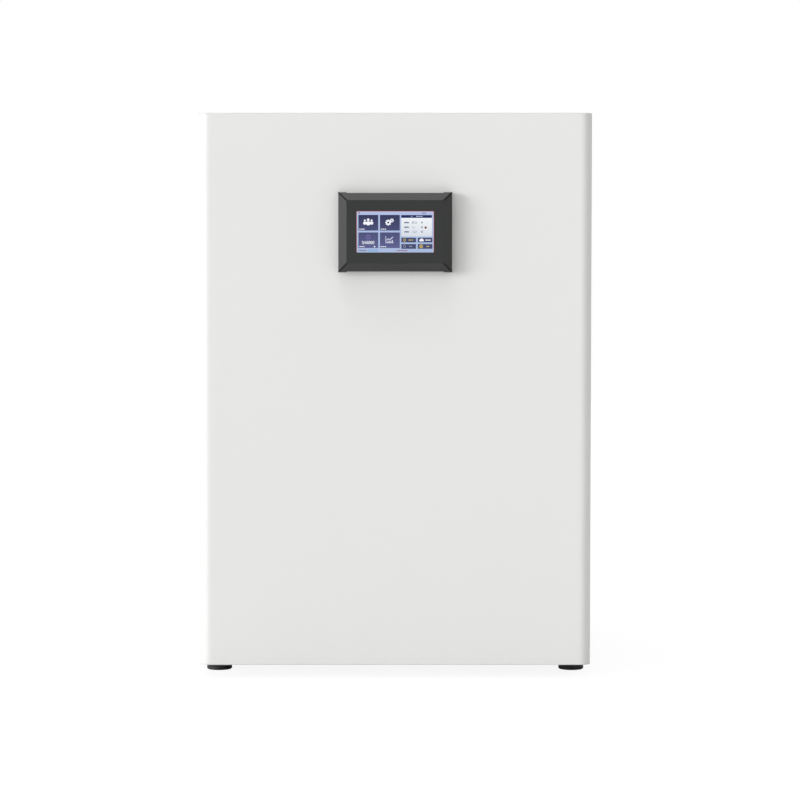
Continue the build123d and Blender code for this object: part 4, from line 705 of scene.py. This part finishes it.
def lit(name, colour, low_colour=None):
    """A colour on the screen, lit from behind. With a second colour it changes down the screen."""
    made, tree, shader = new_material(name, Roughness=0.2, Specular_IOR_Level=0.2, Emission_Strength=1.0)
    level = use_group(tree, "pixel_grid")["Level"]
    glowing = add_node(tree, "ShaderNodeVectorMath", {"operation": "SCALE"})
    glowing.inputs[0].default_value = colour
    if low_colour:
        split = add_node(tree, "ShaderNodeSeparateXYZ")
        tree.links.new(add_node(tree, "ShaderNodeTexCoord").outputs["Object"], split.inputs[0])
        below = math_node(tree, "SUBTRACT", window_top * metres_per_mm, split.outputs["Z"])
        down = math_node(tree, "DIVIDE", below, window_height * metres_per_mm, clamp=True)
        tree.links.new(blend_colours(tree, down, colour, low_colour), glowing.inputs[0])
    tree.links.new(level, glowing.inputs["Scale"])
    tree.links.new(glowing.outputs[0], shader.inputs["Emission Color"])
    dark = blend_colours(tree, level, shade(colour, 0.02), shade(colour, 0.06))
    tree.links.new(dark, shader.inputs["Base Color"])
    return made


make_pixel_group()
desk_blue = lit("screen_desk", (0.43, 0.51, 0.76), (0.38, 0.47, 0.68))
tile_blue = lit("screen_tile", (0.026, 0.030, 0.080), (0.118, 0.130, 0.290))
button_blue = lit("screen_button", (0.055, 0.066, 0.150))
paper_pale = lit("screen_paper", (0.90, 0.93, 0.95), (0.46, 0.50, 0.60))
sign_white = lit("screen_white", (0.88, 0.89, 0.95))
ink_grey = lit("screen_ink", (0.20, 0.21, 0.30))
navy = lit("screen_navy", (0.016, 0.022, 0.110))
amber = lit("screen_amber", (0.62, 0.46, 0.10))
edge_red = lit("screen_edge", (0.62, 0.20, 0.18))
dot_red = lit("screen_dot", (0.20, 0.010, 0.018))
violet = lit("screen_violet", (0.30, 0.20, 0.62))
print("lit colours ready")

# %% [markdown]
# ## The pane
# What lies on the screen is made as thin sheets, one twentieth of a millimetre apart, so that each
# hides what is behind it. Places are millimetres from the window's top left corner, as on a drawing.

# %% The pane and its red edge
pane_front = pane_low.y
layer = 0.05
sign_front = pane_front - 2 * layer
sheet_back = pane_front + 0.2


def sheet_at(bm, left, top, width, height, level, corner=0.4):
    """A flat rectangle on the screen, level layers in front of the pane."""
    x0 = window_left + left
    z1 = window_top - top
    front = pane_front - level * layer
    return add_block(bm, x0, x0 + width, front, sheet_back, z1 - height, z1, corner)


def screen_piece(name, bm, made):
    return make_piece(name, bm, made, "outer_door")


bm = bmesh.new()
add_block(bm, pane_low.x, pane_high.x, pane_low.y, pane_high.y, pane_low.z, pane_high.z, 1.0)
make_piece("screen_pane", bm, desk_blue, "outer_door", ["display_glass"])

bm = bmesh.new()
rim = 0.55
sheet_at(bm, 0, 0, window_width, rim, 1, 0)
sheet_at(bm, 0, 0, rim, window_height, 1, 0)
sheet_at(bm, window_width - rim, 0, rim, window_height, 1, 0)
screen_piece("screen_red_edge", bm, edge_red)

# %% [markdown]
# ## Tiles, readings and buttons
# The tiles and buttons are dark fields with slightly rounded corners, and the readings stand on a
# pale panel under a navy header. Equal fields come from one loop each.

# %% Tiles, readings panel and buttons
tile_lefts = (2.6, 33.0)
tile_tops = (5.2, 29.8)
tile_width = 28.0
tile_height = 22.0
panel_left = 62.9
panel_top = 5.4
panel_width = 43.4
panel_height = 26.0
header_height = 4.0
button_lefts = (63.2, 86.4)
button_tops = (37.2, 46.2)
button_width = 20.6
button_height = 6.6

bm = bmesh.new()
for top in tile_tops:
    for left in tile_lefts:
        sheet_at(bm, left, top, tile_width, tile_height, 1)
screen_piece("screen_tiles", bm, tile_blue)

bm = bmesh.new()
sheet_at(bm, panel_left, panel_top, panel_width, header_height, 1)
screen_piece("screen_panel_header", bm, navy)
bm = bmesh.new()
sheet_at(bm, panel_left, panel_top + header_height, panel_width, panel_height, 1)
screen_piece("screen_readings_panel", bm, paper_pale)
bm = bmesh.new()
for left in button_lefts:
    for top in button_tops:
        sheet_at(bm, left, top, button_width, button_height, 1)
screen_piece("screen_buttons", bm, button_blue)


# %% [markdown]
# ## Signs on the screen
# The signs are the usual ones of any control panel: people, gears, a clock ring, a chart, a lamp and a
# cloud. Each is a few discs, rings and bars, so that it stays readable at a few millimetres. Numbers
# are plain ones from Blender's own font, made a mesh before they are placed.

# %% Helpers for signs
def spot_at(bm, left, top, radius, segments=20):
    """A disc that faces the front."""
    middle = Vector((window_left + left, (sign_front + sheet_back) / 2, window_top - top))
    turn = Matrix.Translation(middle) @ Matrix.Rotation(pi / 2, 4, "X")
    bmesh.ops.create_cone(bm, cap_ends=True, segments=segments, radius1=radius, radius2=radius,
                          depth=sheet_back - sign_front, matrix=turn)


def ring_at(bm, left, top, outer, inner, segments=28):
    """A flat ring: an annulus made by turning a rectangle."""
    centre = (window_left + left, 0.0, window_top - top)
    outline = [(inner, sign_front), (outer, sign_front), (outer, sheet_back), (inner, sheet_back)]
    add_turned(bm, outline, centre, axis="Y", segments=segments)


def row_at(bm, left, top, count, pitch, width, height):
    """A row of equal bars, which stands for a word."""
    for step in range(count):
        sheet_at(bm, left + pitch * step, top, width, height, 2, 0)


def gear_at(bm, left, top, radius, teeth=8):
    """A gear: a ring with a square tooth on every eighth of a turn."""
    ring_at(bm, left, top, radius * 0.82, radius * 0.36)
    for step in range(teeth):
        angle = 2 * pi * step / teeth
        x = left + radius * 0.84 * cos(angle)
        z = top + radius * 0.84 * sin(angle)
        half = radius * 0.17
        tooth = sheet_at(bm, x - half, z - half, 2 * half, 2 * half, 2, 0)
        pivot = Vector((window_left + x, 0, window_top - z))
        bmesh.ops.rotate(bm, verts=tooth, cent=pivot, matrix=Matrix.Rotation(angle, 3, "Y"))


def bar_between(bm, start, end, width):
    """A bar from one screen place to another."""
    first = Vector((window_left + start[0], 0, window_top - start[1]))
    last = Vector((window_left + end[0], 0, window_top - end[1]))
    run = last - first
    bar = add_block(bm, 0, run.length, sign_front, sheet_back, -width / 2, width / 2)
    turn = Vector((1, 0, 0)).rotation_difference(run.normalized()).to_matrix()
    bmesh.ops.rotate(bm, verts=bar, cent=(0, 0, 0), matrix=turn)
    bmesh.ops.translate(bm, verts=bar, vec=first)


def number_at(bm, words, left, top, size, weight=0.12):
    """Plain numbers in Blender's own font, turned to face the front."""
    text = bpy.data.curves.new("number", "FONT")
    text.body = words
    text.size = size
    text.offset = weight
    text.extrude = (sheet_back - sign_front) / 2
    holder = bpy.data.objects.new("number", text)
    mesh = bpy.data.meshes.new_from_object(holder)
    mesh.transform(Matrix.Translation((window_left + left, pane_front + 0.1, window_top - top))
                   @ Matrix.Rotation(pi / 2, 4, "X"))
    bm.from_mesh(mesh)
    bpy.data.objects.remove(holder)
    bpy.data.curves.remove(text)
    bpy.data.meshes.remove(mesh)


print("sign helpers ready")

# %% [markdown]
# ## White signs
# The two upper tiles show people and gears, and each tile has its word at the bottom. At this size a
# head over rounded shoulders and a ring with teeth are enough.

# %% White signs on the tiles
def person_at(bm, left, top, size):
    """A head over a pair of shoulders."""
    spot_at(bm, left, top, 0.95 * size)
    sheet_at(bm, left - 1.6 * size, top + 1.1 * size, 3.2 * size, 2.9 * size, 2, 1.3 * size)


bm = bmesh.new()
person_at(bm, 11.7, 13.0, 1.45)
person_at(bm, 21.3, 13.0, 1.45)
person_at(bm, 16.5, 12.0, 1.95)
gear_at(bm, 44.7, 15.9, 4.2)
gear_at(bm, 49.9, 12.9, 2.7)
for top in tile_tops:
    for left in tile_lefts:
        row_at(bm, left + 1.2, top + 19.4, 3, 2.7, 2.1, 1.1)
sheet_at(bm, 24.4, 48.8, 1.9, 1.9, 2, 0)
screen_piece("screen_signs_white", bm, sign_white)

# %% [markdown]
# ## Chart and running time
# The lower tiles show a ring over a row of digits, and a chart with its two axes. The chart's line
# is a chain of bars between named points.

# %% Chart and running time
bm = bmesh.new()
bar_between(bm, (41.2, 35.2), (41.2, 44.6), 0.8)
bar_between(bm, (41.2, 44.4), (52.4, 44.4), 0.8)
chart = [(42.2, 41.0), (44.8, 38.6), (46.8, 40.2), (51.4, 36.0)]
for start, end in zip(chart, chart[1:]):
    bar_between(bm, start, end, 1.2)
for step, height in enumerate((1.4, 2.6, 2.0, 3.6)):
    sheet_at(bm, 42.8 + 2.3 * step, 44.0 - height, 1.5, height, 2, 0)
screen_piece("screen_signs_chart", bm, lit("screen_soft", (0.60, 0.62, 0.76)))
bm = bmesh.new()
number_at(bm, "240000", 7.4, 46.0, 5.9, weight=0.3)
screen_piece("screen_running_time", bm, lit("screen_digits", (0.80, 0.82, 0.88)))
bm = bmesh.new()
ring_at(bm, 16.4, 36.4, 2.9, 2.3)
screen_piece("screen_clock_ring", bm, violet)

# %% [markdown]
# ## Readings
# Temperature, gas and humidity stand in three rows, with a bar for each name and unit. The strip
# below the tiles has small coloured fields, and the header a number and a word.

# %% Readings
bm = bmesh.new()
readings = (("37.0", 17.3), ("5.0", 23.8), ("95.0", 30.3))
for words, base_line in readings:
    number_at(bm, words, 78.0, base_line, 3.9, weight=0.2)
    sheet_at(bm, 67.2, base_line - 2.3, 6.6, 2.0, 2, 0)
    sheet_at(bm, 91.2, base_line - 2.5, 2.0, 2.3, 2, 0)
sheet_at(bm, 2.6, 1.4, 2.4, 2.0, 1, 0)
number_at(bm, "08:30", 92.0, 3.9, 2.8)
sheet_at(bm, 3.0, 54.6, 11.0, 1.4, 2, 0)
screen_piece("screen_ink_marks", bm, ink_grey)
bm = bmesh.new()
spot_at(bm, 97.4, 23.0, 1.6)
screen_piece("screen_red_dot", bm, dot_red)
bm = bmesh.new()
row_at(bm, 57.0, 54.6, 6, 2.5, 1.8, 1.5)
screen_piece("screen_red_marks", bm, lit("screen_brick", (0.30, 0.12, 0.14)))
bm = bmesh.new()
sheet_at(bm, 15.6, 53.6, 14.6, 3.4, 2, 0)
screen_piece("screen_blue_field", bm, lit("screen_sky", (0.26, 0.42, 0.66)))
bm = bmesh.new()
number_at(bm, "01", 76.6, 8.6, 2.9)
row_at(bm, 84.0, 6.6, 3, 3.2, 2.5, 1.4)
screen_piece("screen_header_marks", bm, lit("screen_header_ink", (0.42, 0.46, 0.66)))

# %% [markdown]
# ## Signs on the buttons
# The four buttons carry a lamp, a cloud, a ring and a gear, each with its word. The cloud is three
# discs on a flat bar.

# %% Signs on the buttons
bm = bmesh.new()
ring_at(bm, 67.6, 40.4, 1.9, 1.2)
bar_between(bm, (67.6, 42.0), (67.6, 43.2), 1.0)
row_at(bm, 73.4, 39.8, 3, 2.3, 1.7, 1.4)
gear_at(bm, 91.0, 49.4, 2.7)
row_at(bm, 98.4, 48.8, 2, 2.3, 1.7, 1.4)
screen_piece("screen_signs_amber", bm, amber)
bm = bmesh.new()
spot_at(bm, 89.8, 41.0, 1.4)
spot_at(bm, 91.8, 40.2, 1.9)
spot_at(bm, 93.6, 41.0, 1.3)
sheet_at(bm, 88.8, 40.9, 5.8, 1.5, 2, 0.6)
row_at(bm, 97.2, 39.8, 3, 2.6, 2.0, 1.5)
screen_piece("screen_signs_cloud", bm, sign_white)
bm = bmesh.new()
ring_at(bm, 67.6, 49.4, 2.0, 1.5)
row_at(bm, 74.2, 48.8, 2, 2.4, 1.8, 1.4)
screen_piece("screen_signs_grey", bm, lit("screen_grey", (0.34, 0.36, 0.50)))


# %% [markdown]
# ## Screws
# The service panel is held by pan-head screws with a cross recess. A circle of twelve corners and a
# plus sign of twelve corners are bridged into the head's face, and the plus is then pushed in, so
# each screw stays at a few dozen faces.

# %% A cross-recess screw head
def add_screw(bm, x, z, seat, out, radius=4.0, height=2.0):
    """A pan head on a surface at depth seat. It faces the back if out is 1 and the front if out is -1."""
    verts = bmesh.ops.create_circle(bm, cap_ends=False, segments=12, radius=radius)["verts"]
    bmesh.ops.rotate(bm, verts=verts, cent=(0, 0, 0), matrix=Matrix.Rotation(-out * pi / 2, 3, "X"))
    bmesh.ops.translate(bm, verts=verts, vec=(x, seat, z))
    loop = list({edge for vert in verts for edge in vert.link_edges})
    bmesh.ops.edgeloop_fill(bm, edges=loop)
    for rise, size in ((0.55, 1.0), (0.85, 0.9), (1.0, 0.7)):
        moved, loop = extrude_loop(bm, loop)
        place = seat + out * height * rise
        for vert in moved:
            away = Vector((vert.co.x - x, 0, vert.co.z - z)).normalized() * radius * size
            vert.co = Vector((x, place, z)) + away
    arm = 0.17 * radius
    reach = 0.55 * radius
    recess = 0.6 * height
    corners = [(reach, arm), (arm, arm), (arm, reach), (-arm, reach), (-arm, arm), (-reach, arm),
               (-reach, -arm), (-arm, -arm), (-arm, -reach), (arm, -reach), (arm, -arm), (reach, -arm)]
    place = seat + out * height
    plus = [bm.verts.new((x + dx, place, z + dz)) for dx, dz in corners]
    plus_edges = [bm.edges.new((plus[i], plus[(i + 1) % len(plus)])) for i in range(len(plus))]
    bmesh.ops.bridge_loops(bm, edges=loop + plus_edges)
    sunk, loop = extrude_loop(bm, plus_edges)
    bmesh.ops.translate(bm, verts=sunk, vec=(0, -out * recess, 0))
    bmesh.ops.edgeloop_fill(bm, edges=loop)


def island_centres(name):
    """The middle of each separate solid in a CAD node, in millimetres."""
    bm = bmesh.new()
    bm.from_mesh(nodes[name].data)
    bmesh.ops.remove_doubles(bm, verts=bm.verts, dist=0.00001)
    left = set(bm.verts)
    centres = []
    while left:
        waiting = [left.pop()]
        island = []
        while waiting:
            vert = waiting.pop()
            island.append(vert.co.copy())
            for edge in vert.link_edges:
                other = edge.other_vert(vert)
                if other in left:
                    left.remove(other)
                    waiting.append(other)
        low = Vector([min(co[i] for co in island) for i in range(3)])
        high = Vector([max(co[i] for co in island) for i in range(3)])
        centres.append((low + high) / 2 / metres_per_mm)
    bm.free()
    return centres


panel_face = box_mm("rear_panel_screws")[0].y
bm = bmesh.new()
for centre in island_centres("rear_panel_screws"):
    add_screw(bm, centre.x, centre.z, panel_face, 1)
make_piece("rear_cross_screws", bm, plated, "cabinet", ["rear_panel_screws"])

# %% [markdown]
# ## Screws in the hinge leaves
# Each hinge bracket is held to the front frame by two flatter screws of the same kind. The lower
# bracket mirrors the upper one, so the distances are measured from the far end of each.

# %% Screws in the hinge leaves
upper_end = box_mm("door_hinge_upper")[1]
lower_end = box_mm("door_hinge_lower")[0]
frame_face = box_mm("front_frame")[0].y
screw_x = upper_end.x - 12.0
bm = bmesh.new()
for distance in (22.0, 46.0):
    for z in (upper_end.z - distance, lower_end.z + distance):
        add_screw(bm, screw_x, z, frame_face, -1, radius=3.2, height=1.0)
make_piece("hinge_leaf_screws", bm, plated, "cabinet")

# %% [markdown]
# ## Marks on the mains switch
# The rocker carries the two usual marks, a bar for on and a ring for off. They are a tenth of a
# millimetre proud of its two faces, which meet in a shallow V, so each mark is made flat, leaned to
# its face and then tilted with the rocker.

# %% Rocker marks
joints = {joint["name"]: joint for joint in frame["record"]["behaviour"]["joints"]}
rocker_axis = Vector(joints["mains_rocker_tilt"]["pos_m"]) / metres_per_mm
rocker_tilt = radians(10.0)
lean = radians(6.84)
face_rise = 3.75
mark_place = 6.5


def lean_and_tilt(bm, verts, side):
    """Moves a mark made at the origin to the upper (1) or lower (-1) face of the rocker."""
    bmesh.ops.rotate(bm, verts=verts, cent=(0, 0, 0), matrix=Matrix.Rotation(-side * lean, 3, "X"))
    bmesh.ops.translate(bm, verts=verts, vec=(0, face_rise, side * mark_place))
    bmesh.ops.rotate(bm, verts=verts, cent=(0, 0, 0), matrix=Matrix.Rotation(-rocker_tilt, 3, "X"))
    bmesh.ops.translate(bm, verts=verts, vec=rocker_axis)


bm = bmesh.new()
bar = add_block(bm, -0.5, 0.5, -0.3, 0.1, -2.4, 2.4)
lean_and_tilt(bm, bar, -1)
before = set(bar)
add_turned(bm, [(1.7, -0.3), (2.5, -0.3), (2.5, 0.1), (1.7, 0.1)], (0, 0, 0), axis="Y", segments=28)
lean_and_tilt(bm, [vert for vert in bm.verts if vert not in before], 1)
mark_paint = coated("mark_paint", (0.78, 0.78, 0.77), 0.5, grain=0.0005, relief=0.00001)
make_piece("rocker_marks", bm, mark_paint, "rocker")

# %% [markdown]
# ## Floor
# The object stands on a plain white floor that runs into a white background. To the camera the floor
# glows and takes only a faint shadow, while to all other rays it is plain pale card, so that it
# doesn't light the object too much from below.

# %% Floor
def mix_by_ray(tree, lighting, seen):
    """Shows one shader to the camera, also through glass, and lights the scene with the other."""
    rays = add_node(tree, "ShaderNodeLightPath").outputs
    looked_at = math_node(tree, "MAXIMUM", rays["Is Camera Ray"], rays["Is Transmission Ray"])
    choice = add_node(tree, "ShaderNodeMixShader")
    for socket, source in zip(choice.inputs, (looked_at, lighting.outputs[0], seen.outputs[0])):
        tree.links.new(source, socket)
    return choice.outputs[0]


def make_floor_material():
    made, tree, shader = new_material("studio_floor")
    tree.nodes.remove(shader)
    plain = add_node(tree, "ShaderNodeBsdfDiffuse", Color=(0.78, 0.78, 0.78, 1.0))
    shadowed = add_node(tree, "ShaderNodeBsdfDiffuse", Color=(0.11, 0.11, 0.11, 1.0))
    glow = add_node(tree, "ShaderNodeEmission", Color=(1.0, 1.0, 1.0, 1.0), Strength=0.91)
    white = add_node(tree, "ShaderNodeAddShader")
    tree.links.new(shadowed.outputs[0], white.inputs[0])
    tree.links.new(glow.outputs[0], white.inputs[1])
    surface = tree.nodes["Material Output"].inputs["Surface"]
    tree.links.new(mix_by_ray(tree, plain, white), surface)
    return made


bm = bmesh.new()
bmesh.ops.create_grid(bm, x_segments=1, y_segments=1, size=14.0)
floor_mesh = bpy.data.meshes.new("studio_floor")
bm.to_mesh(floor_mesh)
bm.free()
floor_mesh.materials.append(make_floor_material())
floor = bpy.data.objects.new("studio_floor", floor_mesh)
bpy.context.scene.collection.objects.link(floor)
print("floor ready")


# %% [markdown]
# ## Surroundings and lamps
# To the camera the surroundings are white. For light and reflections they are a modest grey, brighter
# on the left and above, so white paint keeps its shade and each dark bevel of the display reflects a
# different tone. One soft key light from far left lights the left edge, leaves the right edge grey
# and throws the display's short soft shadow to the right.

# %% Surroundings and lamps
def make_world(level, sides):
    """White to the eye. For light, a grey level, with more or less of it towards named sides."""
    world = bpy.data.worlds.new("studio_world")
    bpy.context.scene.world = world
    world.use_nodes = True
    tree = world.node_tree
    lighting = tree.nodes["Background"]
    lighting.inputs["Color"].default_value = (1.0, 1.0, 1.0, 1.0)
    direction = add_node(tree, "ShaderNodeTexCoord").outputs["Generated"]
    split = add_node(tree, "ShaderNodeSeparateXYZ")
    tree.links.new(direction, split.inputs[0])
    total = level
    for axis, sign, gain in sides:
        facing = math_node(tree, "MULTIPLY", split.outputs[axis], sign, clamp=True)
        squared = math_node(tree, "POWER", facing, 2.0)
        total = math_node(tree, "ADD", math_node(tree, "MULTIPLY", squared, gain), total)
    tree.links.new(total, lighting.inputs["Strength"])
    white = add_node(tree, "ShaderNodeBackground", Color=(1.0, 1.0, 1.0, 1.0), Strength=1.0)
    surface = tree.nodes["World Output"].inputs["Surface"]
    tree.links.new(mix_by_ray(tree, lighting, white), surface)


def add_sun(name, towards, strength, softness):
    """A sun lamp that shines from the given direction, with a wide disc for soft shadows."""
    data = bpy.data.lights.new(name, "SUN")
    data.energy = strength * pi
    data.angle = radians(softness)
    lamp = bpy.data.objects.new(name, data)
    lamp.rotation_euler = Vector(towards).to_track_quat("Z", "Y").to_euler()
    bpy.context.scene.collection.objects.link(lamp)


left_side = ("X", -1.0, 0.52)
right_side = ("X", 1.0, -0.15)
camera_side = ("Y", -1.0, -0.03)
above = ("Z", 1.0, 0.62)
make_world(0.40, (left_side, right_side, camera_side, above))
add_sun("key_light", (-0.84, -0.52, 0.10), 0.56, 26.0)
add_sun("top_light", (-0.15, -0.24, 0.96), 0.14, 24.0)
add_sun("rear_fill", (-0.10, 0.87, 0.48), 0.20, 60.0)
print("lights ready")
